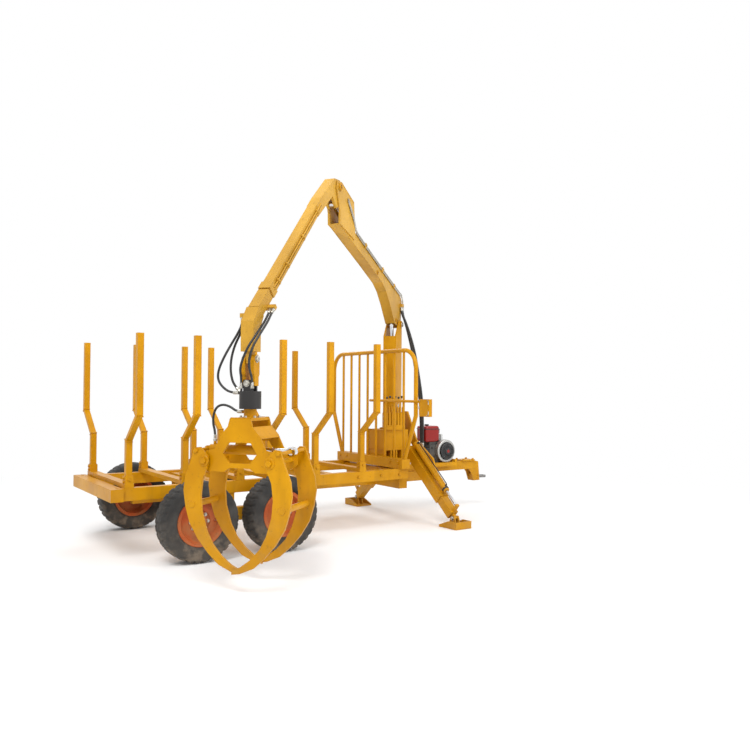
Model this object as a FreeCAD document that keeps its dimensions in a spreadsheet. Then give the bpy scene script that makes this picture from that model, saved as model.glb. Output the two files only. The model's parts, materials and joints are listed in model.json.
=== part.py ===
import FreeCAD, Part
import math
import os
import re
import Sketcher
from FreeCAD import Placement, Rotation, Vector

# Forestry trailer with loading crane and log grapple.
# Frame: +X towards the tractor, +Y to the left, +Z up, millimetres, ground at Z = 0.
# Local X = 0 is the rearmost bunk; datum_x and datum_y carry the whole part to its origin.

doc = FreeCAD.newDocument("LogTrailer")
sheet = doc.addObject("Spreadsheet::Sheet", "Dims")

SIZES = [
    # datum of the part
    ("datum_x", -2497.5, "shift of local X to the part's origin"),
    ("datum_y", 730.331, "shift of local Y to the part's origin"),
    # main frame
    ("rail_top", 687.0, "top of the side rails above ground"),
    ("rail_high", 120.0, "height of a side rail"),
    ("rail_wide", 80.0, "width of a side rail"),
    ("rail_mid", 637.0, "side rail's centre from the middle"),
    ("frame_back", -150.0, "rear face of the frame"),
    ("frame_front", 3290.0, "front end of the side rails"),
    ("cross_wide", 80.0, "width of a cross member"),
    ("sill_low", 440.0, "underside of the front cross beam"),
    ("sill_half", 580.0, "half length of the front cross beam"),
    ("keel_wide", 160.0, "width of the centre beam"),
    ("keel_high", 125.0, "height of the centre beam"),
    ("keel_low", 440.0, "underside of the centre beam"),
    ("keel_front", 4060.0, "front end of the centre beam"),
    # bunks and stakes
    ("bunk1_at", 0.0, "bunk position along X"),
    ("bunk2_at", 550.0, "bunk position along X"),
    ("bunk3_at", 1131.0, "bunk position along X"),
    ("bunk4_at", 1467.0, "bunk position along X"),
    ("bunk5_at", 2033.0, "bunk position along X"),
    ("bunk6_at", 2643.0, "bunk position along X"),
    ("stake_wide", 58.0, "square section of a stake"),
    ("stake_wall", 6.0, "wall of a stake tube"),
    ("foot_mid", 637.0, "stake foot's centre from the middle"),
    ("stake_out", 945.0, "upper stake's centre from the middle"),
    ("kink_low", 1130.0, "height where a stake turns outwards"),
    ("kink_high", 1377.0, "height where a stake turns upright"),
    ("stake_top", 2130.0, "top of the stakes"),
    ("socket_top", 800.0, "top of a stake's socket"),
    ("socket_wall", 10.0, "wall of a stake's socket"),
    ("bolster_wide", 90.0, "width of a bolster"),
    ("bolster_up", 40.0, "height of a bolster above the rails"),
    # headboard
    ("head_at", 3230.0, "headboard position along X"),
    ("head_tube", 50.0, "diameter of the headboard's tube"),
    ("head_top", 2095.0, "centre of the top tube"),
    ("head_half", 900.0, "half width of the headboard"),
    ("head_bend", 220.0, "radius of the headboard's upper corners"),
    ("head_waist", 1330.0, "height where the sides turn in"),
    ("head_foot", 685.0, "half width at the base beam"),
    ("beam_top", 800.0, "top of the headboard's base beam"),
    ("bar_dia", 30.0, "diameter of a headboard bar"),
    ("bar_pitch", 190.0, "spacing of the headboard bars"),
    ("bar_up", 1490.0, "height of the headboard's cross bar"),
    ("case_gap", 62.0, "from the headboard's side tube to the control box"),
    ("cross_dia", 32.0, "diameter of the headboard's cross bar"),
    ("case_wide", 182.0, "width of the control box"),
    ("case_high", 200.0, "height of the control box"),
    ("case_deep", 45.0, "depth of the control box"),
    # wheels and bogies
    ("tyre_dia", 760.0, "tyre's outer diameter"),
    ("tyre_wide", 264.0, "tyre's width"),
    ("rim_dia", 430.0, "rim's diameter at the flange"),
    ("track_half", 1010.0, "tyre's middle from the centre line"),
    ("wheel_back", 541.0, "rear wheel's position along X"),
    ("wheel_front", 1412.0, "front wheel's position along X"),
    ("bogie_mid", 800.0, "bogie beam's centre from the middle"),
    ("bogie_wide", 80.0, "width of a bogie beam"),
    ("bogie_high", 130.0, "height of a bogie beam"),
    ("hub_dia", 130.0, "hub's diameter"),
    ("stub_dia", 60.0, "stub axle's diameter"),
    ("eye_pin", 30.0, "diameter of the cylinders' pins"),
    ("eye_play", 12.0, "room round the pin in the grapple rod's eye"),
    ("run_fit", 0.1, "radial clearance of a running fit"),
    ("axle_size", 100.0, "square section of the cross axle"),
    # drawbar
    ("draw_low", 540.0, "underside of the drawbar"),
    ("draw_high", 115.0, "height of the drawbar"),
    ("draw_wide", 120.0, "width of the drawbar"),
    ("draw_front", 4930.0, "front end of the drawbar"),
    ("eye_at", 5120.0, "centre of the towing eye along X"),
    ("eye_up", 420.0, "centre of the towing eye above ground"),
    ("eye_bore", 50.0, "bore of the towing eye"),
    ("eye_dia", 110.0, "outer diameter of the towing eye"),
    ("eye_thick", 30.0, "thickness of the towing eye"),
    # crane base and legs
    ("mast_at", 3554.0, "slewing axis along X"),
    ("slew_turn", 215.0, "boom's direction at rest, degrees from +X"),
    ("base_side", 200.0, "half width of the crane's base box"),
    ("base_back", 264.0, "crane base box behind the slewing axis"),
    ("base_front", 102.0, "crane base box ahead of the slewing axis"),
    ("base_low", 870.0, "underside of the crane's base box"),
    ("rib_thick", 20.0, "thickness of a rib under the base box"),
    ("rib_pitch", 85.0, "spacing of the ribs under the base box"),
    ("bank_off", 200.0, "control valve's middle from the centre line"),
    ("bank_top", 1400.0, "top of the control valve's slices"),
    ("slice_wide", 30.0, "width of a valve slice"),
    ("slice_pitch", 44.0, "spacing of the valve slices"),
    ("deck_top", 1120.0, "top of the crane's base box"),
    ("neck_top", 1300.0, "top of the slewing housing"),
    ("neck_dia", 260.0, "diameter of the slewing housing"),
    ("leg_slope", 41.0, "legs' slope above the ground, degrees"),
    ("leg_gap", 0.0, "clearance between base box and leg sleeve"),
    ("sleeve_size", 130.0, "square section of a leg sleeve"),
    ("sleeve_wall", 12.0, "wall of a leg sleeve"),
    ("slide_gap", 1.0, "clearance between leg and sleeve"),
    ("ankle_out", 1030.0, "ankle's distance from the middle"),
    ("ankle_up", 110.0, "ankle's height above ground"),
    ("sleeve_from", 300.0, "sleeve's lower end from the ankle"),
    ("sleeve_to", 1150.0, "sleeve's upper end from the ankle"),
    ("leg_to", 760.0, "leg's upper end from the ankle"),
    ("foot_long", 300.0, "foot plate's length"),
    ("foot_wide", 240.0, "foot plate's width"),
    ("foot_thick", 15.0, "foot plate's thickness"),
    ("ram_dia", 75.0, "leg cylinder's diameter"),
    ("ram_rod", 36.0, "leg cylinder's rod"),
    ("ram_off", 130.0, "leg cylinder's axis from the leg's axis"),
    ("brace_top", 1345.0, "top of the brace plates ahead of the slewing housing"),
    ("brace_thick", 24.0, "thickness of a brace plate"),
    # column
    ("mast_wide", 170.0, "width of the column over its cheeks"),
    ("mast_back", 110.0, "column behind the slewing axis"),
    ("mast_front", 127.0, "column ahead of the slewing axis"),
    ("cheek_wall", 15.0, "thickness of a column cheek"),
    ("turn_gap", 0.5, "running gap under the column"),
    ("flange_thick", 25.0, "thickness of the column's flange"),
    ("boom_pin_x", -75.0, "boom pivot from the slewing axis"),
    ("boom_pin_z", 2470.0, "boom pivot's height"),
    ("lift_foot_x", 35.0, "lift cylinder's foot from the slewing axis"),
    ("lift_foot_z", 1420.0, "lift cylinder's foot height"),
    ("lift_eye_x", 50.0, "lift cylinder's eye from the slewing axis"),
    ("lift_eye_z", 2520.0, "lift cylinder's eye height"),
    ("lift_dia", 76.0, "lift cylinder's diameter"),
    ("lift_rod", 50.0, "lift cylinder's rod"),
    # boom
    ("boom_wide", 120.0, "width of the boom"),
    ("boom_wall", 10.0, "plate thickness of the boom"),
    ("boom_deep", 124.0, "depth of the boom's box"),
    ("arch_x", 990.0, "boom's upper bend from the slewing axis"),
    ("arch_z", 3135.0, "boom's upper bend height"),
    ("fork_wall", 12.0, "thickness of the fork plates at the boom's end"),
    ("nose_x", 1945.0, "boom's outer end from the slewing axis"),
    ("nose_drop", 320.0, "boom's outer end below the jib pivot"),
    ("apex_x", 1965.0, "jib pivot from the slewing axis"),
    ("apex_z", 3735.0, "jib pivot's height"),
    ("pin_dia", 50.0, "pivot pins' diameter"),
    ("boss_dia", 90.0, "pivot bosses' diameter"),
    ("side_gap", 5.0, "side clearance at a pivot"),
    # jib
    ("jib_wide", 98.0, "width of the jib"),
    ("jib_deep", 98.0, "depth of the jib's box"),
    ("jib_wall", 8.0, "wall of the jib's box"),
    ("elbow_x", 2370.0, "jib's elbow from the slewing axis"),
    ("elbow_z", 3475.0, "jib's elbow height"),
    ("step_x", 3410.0, "end of the jib's sleeve from the slewing axis"),
    ("step_z", 2450.0, "end of the jib's sleeve, height"),
    ("jib_eye_x", 1995.0, "jib cylinder's eye from the slewing axis"),
    ("jib_eye_drop", 185.0, "jib cylinder's eye below the jib pivot"),
    ("jib_foot_x", 760.0, "jib cylinder's foot from the slewing axis"),
    ("jib_foot_z", 3025.0, "jib cylinder's foot height"),
    ("jib_ram", 64.0, "jib cylinder's diameter"),
    ("jib_rod", 36.0, "jib cylinder's rod"),
    # extension and link
    ("ext_gap", 0.3, "clearance between jib and extension"),
    ("ext_in", 800.0, "extension's length inside the jib at rest"),
    ("tip_x", 3664.0, "hanging axis from the slewing axis"),
    ("bend_z", 2202.0, "height of the extension's bend"),
    ("tip_wide", 120.0, "size of the extension's end tube"),
    ("tip_low", 1931.0, "lower end of the extension's end tube"),
    ("link_z", 1870.0, "upper link pin's height"),
    ("swing_z", 1669.0, "lower link pin's height"),
    ("link_pin", 30.0, "link pins' diameter"),
    ("link_gap", 52.0, "space between the link's arms"),
    ("link_arm", 32.0, "thickness of a link arm"),
    # rotator and grapple
    ("rot_top", 1606.0, "top of the rotator"),
    ("rot_low", 1460.0, "underside of the rotator"),
    ("rot_dia", 180.0, "diameter of the rotator"),
    ("neck_low", 1390.0, "underside of the grapple's neck"),
    ("grapple_turn", 0.0, "grapple's turn about its rotator at rest, degrees"),
    ("claw_pin_y", 308.0, "claw pivot from the hanging axis"),
    ("claw_pin_z", 1041.0, "claw pivot's height"),
    ("claw_pin", 40.0, "claw pivot's diameter"),
    ("frame_off", 155.0, "grapple plate's middle from the hanging axis"),
    ("frame_plate", 15.0, "grapple plate's thickness"),
    ("inner_off", 186.0, "inner claw arm's middle from the hanging axis"),
    ("outer_off", 224.0, "outer claw arm's middle from the hanging axis"),
    ("claw_plate", 24.0, "claw arm's thickness"),
    ("lug_y", 386.0, "grapple cylinder's eye from the hanging axis"),
    ("lug_z", 1121.0, "grapple cylinder's eye height"),
    ("grip_dia", 80.0, "grapple cylinder's diameter"),
    ("grip_rod", 45.0, "grapple cylinder's rod"),
    # engine pack and controls
    ("bed_top", 665.0, "top of the engine's bed"),
    ("engine_at", 4220.0, "engine's middle along X"),
    ("motor_long", 280.0, "length of the engine along X"),
    ("motor_wide", 230.0, "width of the engine"),
    ("motor_high", 272.0, "height of the engine"),
    ("tank_long", 235.0, "length of the fuel tank"),
    ("tank_wide", 205.0, "width of the fuel tank"),
    ("tank_high", 212.0, "height of the fuel tank"),
    ("shroud_dia", 296.0, "diameter of the fan's shroud"),
    ("starter_dia", 222.0, "diameter of the recoil starter"),
    ("pump_at", 3986.0, "hydraulic pump's middle along X"),
    ("hose_dia", 20.0, "diameter of a crane hose"),
    ("main_hose", 32.0, "diameter of a supply hose"),
]

for row, (name, value, note) in enumerate(SIZES, start=1):
    sheet.set("A%d" % row, name)
    sheet.set("B%d" % row, str(value))
    sheet.set("C%d" % row, note)
    sheet.setAlias("B%d" % row, name)
doc.recompute()

VALUE = {name: value for name, value, note in SIZES}
WORDS = re.compile(r"\b(" + "|".join(sorted(VALUE, key=len, reverse=True)) + r")\b")
AXES = {"X": Vector(1, 0, 0), "Y": Vector(0, 1, 0), "Z": Vector(0, 0, 1)}
serial = [0]


def bind(obj, prop, text):
    """Bind a property to an expression written with the sheet's aliases."""
    obj.setExpression(prop, WORDS.sub(r"Dims.\1", str(text)))


def new(kind, hint):
    serial[0] += 1
    return doc.addObject(kind, "%s_%03d" % (hint, serial[0]))


def place(obj, at, axis=None, angle=None):
    """Bind an object's position, and its turn about one axis."""
    if axis is not None:
        obj.Placement = Placement(Vector(), Rotation(axis, 10))
        bind(obj, "Placement.Rotation.Angle", angle)
    for part, text in zip("xyz", at):
        bind(obj, "Placement.Base." + part, text)


def box(x0, x1, y0, y1, z0, z1):
    """Block between two corners."""
    obj = new("Part::Box", "Block")
    for prop, low, high in (("Length", x0, x1), ("Width", y0, y1), ("Height", z0, z1)):
        bind(obj, prop, "(%s)-(%s)" % (high, low))
    place(obj, (x0, y0, z0))
    return obj


def rod(axis, at, radius, length):
    """Round bar from a point along X, Y or Z."""
    obj = new("Part::Cylinder", "Bar")
    bind(obj, "Radius", radius)
    bind(obj, "Height", length)
    turn = {"X": (AXES["Y"], "90"), "Y": (AXES["X"], "-90"), "Z": (None, None)}[axis]
    place(obj, at, *turn)
    return obj


def mid_rod(axis, at, radius, length):
    """Round bar along X, Y or Z with its middle at a point."""
    start = list(at)
    index = "XYZ".index(axis)
    start[index] = "(%s)-(%s)/2" % (at[index], length)
    return rod(axis, start, radius, length)


def lean_rod(plane, at, angle, radius, length, start="0"):
    """Round bar in the XZ or YZ plane, its angle measured from +X or +Y towards +Z."""
    obj = new("Part::Cylinder", "Strut")
    bind(obj, "Radius", radius)
    bind(obj, "Height", length)
    run = "(%s)*cos(%s)" % (start, angle)
    rise = "(%s)+(%s)*sin(%s)" % (at[2], start, angle)
    if plane == "XZ":
        place(obj, ("(%s)+%s" % (at[0], run), at[1], rise), AXES["Y"], "90-(%s)" % angle)
    else:
        place(obj, (at[0], "(%s)+%s" % (at[1], run), rise), AXES["X"], "(%s)-90" % angle)
    return obj


def profile(plane, points, low, high):
    """Closed outline in a plane, drawn out between two values of the third axis."""
    sketch = new("Sketcher::SketchObject", "Outline")
    count = len(points)
    for index in range(count):
        a = Vector(7 * index, 11 * (index % 3), 0)
        b = Vector(7 * (index + 1), 11 * ((index + 1) % 3), 0)
        sketch.addGeometry(Part.LineSegment(a, b), False)
    for index in range(count):
        sketch.addConstraint(Sketcher.Constraint("Coincident", index, 2, (index + 1) % count, 1))
    for index, point in enumerate(points):
        for kind, text in zip(("DistanceX", "DistanceY"), point):
            number = sketch.addConstraint(Sketcher.Constraint(kind, -1, 1, index, 1, 5.0))
            sketch.setExpression("Constraints[%d]" % number, WORDS.sub(r"Dims.\1", str(text)))
    if plane == "XY":
        place(sketch, ("0", "0", low))
        direction = Vector(0, 0, 1)
    elif plane == "XZ":
        sketch.Placement = Placement(Vector(), Rotation(AXES["X"], 90))
        bind(sketch, "Placement.Base.y", low)
        direction = Vector(0, 1, 0)
    else:
        sketch.Placement = Placement(Vector(), Rotation(Vector(1, 1, 1), 120))
        bind(sketch, "Placement.Base.x", low)
        direction = Vector(1, 0, 0)
    solid = new("Part::Extrusion", "Plate")
    solid.Base = sketch
    solid.DirMode = "Custom"
    solid.Dir = direction
    solid.Solid = True
    bind(solid, "LengthFwd", "(%s)-(%s)" % (high, low))
    return solid


def fuse(*shapes):
    obj = new("Part::MultiFuse", "Joined")
    obj.Shapes = list(shapes)
    return obj


def cut(base, *tools):
    obj = new("Part::Cut", "Cut")
    obj.Base = base
    obj.Tool = tools[0] if len(tools) == 1 else fuse(*tools)
    return obj


def ring(axis, at, outer, inner, length):
    """Tube along an axis, its middle at a point."""
    return cut(mid_rod(axis, at, outer, length), mid_rod(axis, at, inner, "(%s)+4" % length))


nodes = []


def node(label, shapes, at=("0", "0", "0"), turn="0", joined=True):
    """Name a finished sub-part and carry it to its place."""
    kind = "Part::MultiFuse" if joined and len(shapes) > 1 else "Part::Compound"
    obj = new(kind, "Node")
    if kind == "Part::Compound":
        obj.Links = shapes
    else:
        obj.Shapes = shapes
    obj.Label = label
    place(obj, ("datum_x+(%s)" % at[0], "datum_y+(%s)" % at[1], at[2]), AXES["Z"], turn)
    nodes.append(obj)
    return obj


def mast_node(label, shapes, joined=True):
    """A crane piece, drawn with X along the boom and carried to the slewing axis."""
    return node(label, shapes, ("mast_at", "0", "0"), "slew_turn", joined)


def claw_node(label, shapes, joined=True):
    """A grapple piece, drawn about the hanging axis: X back along the boom, Y across."""
    at = ("mast_at+tip_x*cos(slew_turn)", "tip_x*sin(slew_turn)", "0")
    return node(label, shapes, at, "slew_turn+grapple_turn", joined)


# ---------------------------------------------------------------- main frame
def side_rail(side):
    return box("frame_back", "frame_front", "%s*rail_mid-rail_wide/2" % side,
               "%s*rail_mid+rail_wide/2" % side, "rail_top-rail_high", "rail_top")


def cross_member(at, low="rail_top-rail_high"):
    return box("(%s)-cross_wide/2" % at, "(%s)+cross_wide/2" % at,
               "-rail_mid", "rail_mid", low, "rail_top-20")


frame_parts = [side_rail("1"), side_rail("-1")]
frame_parts.append(box("frame_back-30", "frame_back+90", "-rail_mid-rail_wide/2-40",
                       "rail_mid+rail_wide/2+40", "rail_top-rail_high", "rail_top"))
frame_parts += [cross_member("(wheel_back+wheel_front)/2"), cross_member("bunk3_at-250"),
                cross_member("bunk5_at+300"), cross_member("frame_front-40")]
frame_parts.append(box("frame_front-60", "frame_front+60", "-sill_half", "sill_half",
                       "sill_low", "rail_top-rail_high"))
frame_parts.append(box("bunk5_at+260", "keel_front", "-keel_wide/2", "keel_wide/2",
                       "keel_low", "keel_low+keel_high"))
frame_parts.append(box("bunk5_at+260", "bunk5_at+340", "-keel_wide/2", "keel_wide/2",
                       "keel_low+keel_high-1", "rail_top-rail_high+1"))
node("main_frame", frame_parts)


# ---------------------------------------------------------------- bunks
def stake(side, at):
    half = "stake_wide/2"
    outer = [("foot_mid-%s" % half, "rail_top"), ("foot_mid+%s" % half, "rail_top"),
             ("foot_mid+%s" % half, "kink_low"), ("stake_out+%s" % half, "kink_high"),
             ("stake_out+%s" % half, "stake_top"), ("stake_out-%s" % half, "stake_top"),
             ("stake_out-%s" % half, "kink_high"), ("foot_mid-%s" % half, "kink_low")]
    points = [("%s*(%s)" % (side, y), z) for y, z in outer]
    return profile("YZ", points, "(%s)-%s" % (at, half), "(%s)+%s" % (at, half))


def socket(side, at):
    reach = "stake_wide/2+socket_wall"
    return box("(%s)-(%s)" % (at, reach), "(%s)+(%s)" % (at, reach),
               "%s*foot_mid-(%s)" % (side, reach), "%s*foot_mid+%s" % (side, reach),
               "rail_top", "socket_top")


def bunk(number):
    """Bolster with its two stakes, which stand in sockets."""
    at = "bunk%d_at" % number
    bolster = box("%s-bolster_wide/2" % at, "%s+bolster_wide/2" % at,
                  "-foot_mid-stake_wide/2-socket_wall", "foot_mid+stake_wide/2+socket_wall",
                  "rail_top", "rail_top+bolster_up")
    return fuse(bolster, stake("1", at), stake("-1", at), socket("1", at), socket("-1", at))


node("bunks_rear", [bunk(1), bunk(2), bunk(3)], joined=False)
node("bunks_front", [bunk(4), bunk(5), bunk(6)], joined=False)

# ---------------------------------------------------------------- headboard
def head_side(side):
    """Side tube of the headboard: a slanted foot, an upright run and a bent corner."""
    r = "head_tube/2"
    rise = "(atan((head_waist-beam_top)/(head_half-head_foot))/1deg)"
    lower_len = "sqrt(pow(head_waist-beam_top;2)+pow(head_half-head_foot;2))"
    low_angle = rise if side == "1" else "180-(%s)" % rise
    y_foot, y_half = "%s*head_foot" % side, "%s*head_half" % side
    parts = [lean_rod("YZ", ("head_at", y_foot, "beam_top-10"), low_angle, r, lower_len)]
    parts.append(rod("Z", ("head_at", y_half, "head_waist-10"), r, "head_top-head_bend-head_waist+10"))
    ball = new("Part::Sphere", "Bend")
    bind(ball, "Radius", r)
    place(ball, ("head_at", y_half, "head_waist-10"))
    corner = new("Part::Torus", "Corner")
    bind(corner, "Radius1", "head_bend")
    bind(corner, "Radius2", r)
    corner.Angle3 = 90
    corner.Placement = Placement(Vector(), Rotation(Vector(1, 1, 1), 120) if side == "1"
                                 else Rotation(Vector(1, 0, 1), 180))
    place(corner, ("head_at", "%s*(head_half-head_bend)" % side, "head_top-head_bend"))
    return parts + [ball, corner]


head_parts = head_side("1") + head_side("-1")
head_parts.append(mid_rod("Y", ("head_at", "0", "head_top"), "head_tube/2", "2*(head_half-head_bend)"))
bar_reach = "(head_half+head_tube/2+case_gap)"
head_parts.append(rod("Y", ("head_at-head_tube/2", "-" + bar_reach, "bar_up"), "cross_dia/2", bar_reach))
head_parts.append(box("head_at-60", "head_at+60", "-head_foot-30", "head_foot+30",
                      "rail_top", "beam_top"))
for index in range(8):
    y = "(%.1f)*bar_pitch" % (index - 3.5)
    head_parts.append(rod("Z", ("head_at", y, "beam_top-5"), "bar_dia/2", "head_top-beam_top+5"))
node("headboard", head_parts)

# ---------------------------------------------------------------- axle and bogies
axle_mid = "(wheel_back+wheel_front)/2"
axle_parts = [box("%s-axle_size/2" % axle_mid, "%s+axle_size/2" % axle_mid,
                  "-bogie_mid+bogie_wide/2", "bogie_mid-bogie_wide/2",
                  "tyre_dia/2-axle_size/2", "tyre_dia/2+axle_size/2")]
for side in ("1", "-1"):
    axle_parts.append(box("%s-90" % axle_mid, "%s+90" % axle_mid, "%s*rail_mid-30" % side,
                          "%s*rail_mid+30" % side, "tyre_dia/2+axle_size/2-5",
                          "rail_top-rail_high"))
node("axle", axle_parts)


def bogie(side):
    """Beam with a stub axle at each end."""
    y = "%s*bogie_mid" % side
    beam = box("wheel_back-70", "wheel_front+70", "%s-bogie_wide/2" % y, "%s+bogie_wide/2" % y,
               "tyre_dia/2-bogie_high/2", "tyre_dia/2+bogie_high/2")
    parts = [beam]
    for at in ("wheel_back", "wheel_front"):
        start = "%s*(bogie_mid+bogie_wide/2-5)" % side
        end = "%s*(track_half+45)" % side
        low, high = (start, end) if side == "1" else (end, start)
        parts.append(rod("Y", (at, low, "tyre_dia/2"), "stub_dia/2", "(%s)-(%s)" % (high, low)))
    return fuse(*parts)


node("bogie_beams", [bogie("1"), bogie("-1")], joined=False)


# ---------------------------------------------------------------- wheels
def turned(label, points, at):
    """Body of revolution about its own Y axis from an outline of (y, radius)."""
    body = doc.addObject("PartDesign::Body", "Wheel_" + label)
    plane = [f for f in body.Origin.OriginFeatures if f.Role == "YZ_Plane"][0]
    sketch = body.newObject("Sketcher::SketchObject", "Section_" + label)
    sketch.AttachmentSupport = [(plane, "")]
    sketch.MapMode = "FlatFace"
    count = len(points)
    for index in range(count):
        a = Vector(5 * index, 50 + 9 * (index % 3), 0)
        b = Vector(5 * (index + 1), 50 + 9 * ((index + 1) % 3), 0)
        sketch.addGeometry(Part.LineSegment(a, b), False)
    for index in range(count):
        sketch.addConstraint(Sketcher.Constraint("Coincident", index, 2, (index + 1) % count, 1))
    for index, point in enumerate(points):
        for kind, text in zip(("DistanceX", "DistanceY"), point):
            number = sketch.addConstraint(Sketcher.Constraint(kind, -1, 1, index, 1, 5.0))
            sketch.setExpression("Constraints[%d]" % number, WORDS.sub(r"Dims.\1", str(text)))
    turn = body.newObject("PartDesign::Revolution", "Turned_" + label)
    turn.Profile = sketch
    turn.ReferenceAxis = (sketch, ["H_Axis"])
    turn.Angle = 360.0
    body.Tip = turn
    body.Label = label
    place(body, ("datum_x+(%s)" % at[0], "datum_y+(%s)" % at[1], at[2]))
    nodes.append(body)
    return body


def wheel(label, at, side):
    w, r, rim = "tyre_wide/2", "tyre_dia/2", "rim_dia/2"
    tyre = [("-(%s)+45" % w, rim), ("-(%s)+12" % w, "%s+25" % rim), ("-(%s)" % w, "%s+90" % rim),
            ("-(%s)+8" % w, "%s-40" % r), ("-(%s)+30" % w, "%s-12" % r), ("-(%s)+70" % w, r),
            ("%s-70" % w, r), ("%s-30" % w, "%s-12" % r), ("%s-8" % w, "%s-40" % r),
            (w, "%s+90" % rim), ("%s-12" % w, "%s+25" % rim), ("%s-45" % w, rim)]
    place_at = (at, "%s*track_half" % side, "tyre_dia/2")
    turned("tyre_" + label, tyre, place_at)
    s = side
    hub, bore = "hub_dia/2", "stub_dia/2+run_fit"
    body = [("-(%s)+40" % w, "%s-18" % rim), ("-(%s)+40" % w, rim), ("%s-40" % w, rim),
            ("%s-40" % w, "%s-18" % rim), ("40", "%s-40" % rim), ("40", hub), ("70", hub), ("70", bore),
            ("-75", bore), ("-75", hub), ("25", hub), ("25", "%s-40" % rim)]
    if s == "-1":
        body = [("-(%s)" % y, z) for y, z in body]
    turned("rim_" + label, body, place_at)


wheel("rear_left", "wheel_back", "1")
wheel("rear_right", "wheel_back", "-1")
wheel("front_left", "wheel_front", "1")
wheel("front_right", "wheel_front", "-1")

# ---------------------------------------------------------------- drawbar
draw_parts = [box("keel_front", "draw_front", "-draw_wide/2", "draw_wide/2",
                  "draw_low", "draw_low+draw_high")]
draw_parts.append(box("keel_front-300", "keel_front+10", "-draw_wide/2", "draw_wide/2",
                      "keel_low+keel_high", "draw_low+draw_high"))
draw_parts.append(box("draw_front-240", "draw_front-20", "-90", "90",
                      "draw_low+draw_high", "draw_low+draw_high+14"))
for side in ("-1", "1"):
    inner, outer = "draw_wide/2-18", "draw_wide/2-3"
    low, high = (inner, outer) if side == "1" else ("-(%s)" % outer, "-(%s)" % inner)
    draw_parts.append(profile("XZ", [("draw_front-120", "draw_low+20"), ("draw_front-20", "draw_low+draw_high"),
                                     ("draw_front+70", "draw_low+draw_high-20"), ("draw_front+95", "eye_up-45"),
                                     ("draw_front-20", "eye_up-45"), ("draw_front-60", "draw_low-50")],
                              low, high))
draw_parts.append(box("draw_front-20", "draw_front+95", "-draw_wide/2+10", "draw_wide/2-10",
                      "eye_up-45", "eye_up+45"))
node("drawbar", draw_parts)
eye = cut(fuse(mid_rod("Z", ("eye_at", "0", "eye_up"), "eye_dia/2", "eye_thick"),
               box("draw_front+95", "eye_at", "-eye_dia/2+20", "eye_dia/2-20",
                   "eye_up-eye_thick/2", "eye_up+eye_thick/2")),
          mid_rod("Z", ("eye_at", "0", "eye_up"), "eye_bore/2", "eye_thick+10"))
node("towing_eye", [eye])

# ---------------------------------------------------------------- crane base
base_parts = [box("mast_at-base_back", "mast_at+base_front", "-base_side", "base_side", "base_low", "deck_top")]
base_parts.append(box("mast_at-base_back+120", "mast_at+base_front", "-keel_wide/2", "keel_wide/2",
                      "keel_low+keel_high", "base_low"))
base_parts.append(box("mast_at-base_back", "mast_at+base_front", "-base_side", "base_side",
                      "base_low-110-rib_thick", "base_low-110"))
for index in range(5):
    rib = "mast_at+base_front-(%d)*rib_pitch" % index
    base_parts.append(box("%s-rib_thick" % rib, rib, "-base_side", "base_side", "base_low-111", "base_low+1"))
base_parts.append(rod("Z", ("mast_at", "0", "deck_top-5"), "neck_dia/2", "neck_top-deck_top+5"))
node("crane_base", base_parts)
bank_parts = [box("mast_at-base_back", "mast_at+30", "-bank_off-30", "-bank_off+30", "deck_top", "deck_top+60")]
for index in range(7):
    spot = "mast_at-base_back+(%d)*slice_pitch" % index
    bank_parts.append(box(spot, spot + "+slice_wide", "-bank_off-28", "-bank_off+24", "deck_top+59", "bank_top-60"))
    bank_parts.append(box(spot + "+6", spot + "+slice_wide-6", "-bank_off-14", "-bank_off+10", "bank_top-61", "bank_top"))
node("valve_bank", bank_parts)


# ---------------------------------------------------------------- legs
LEG_X = "mast_at+base_front+leg_gap+sleeve_size/2"


def slanted(points, side, low, high):
    """Outline in a leg's own axes, along it from the ankle and across it, in the YZ plane."""
    placed = []
    for s, n in points:
        y = "%s*(ankle_out-(%s)*cos(leg_slope)+(%s)*sin(leg_slope))" % (side, s, n)
        z = "ankle_up+(%s)*sin(leg_slope)+(%s)*cos(leg_slope)" % (s, n)
        placed.append((y, z))
    return profile("YZ", placed, low, high)


def strip(s0, s1, n0, n1):
    return [(s0, n0), (s1, n0), (s1, n1), (s0, n1)]


def leg_bar(side, s0, s1, off, radius):
    """Round bar along a leg, off its axis on the upper side."""
    y = "%s*(ankle_out-(%s)*cos(leg_slope)+(%s)*sin(leg_slope))" % (side, s0, off)
    z = "ankle_up+(%s)*sin(leg_slope)+(%s)*cos(leg_slope)" % (s0, off)
    angle = "180-leg_slope" if side == "1" else "leg_slope"
    return lean_rod("YZ", (LEG_X, y, z), angle, radius, "(%s)-(%s)" % (s1, s0))


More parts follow.
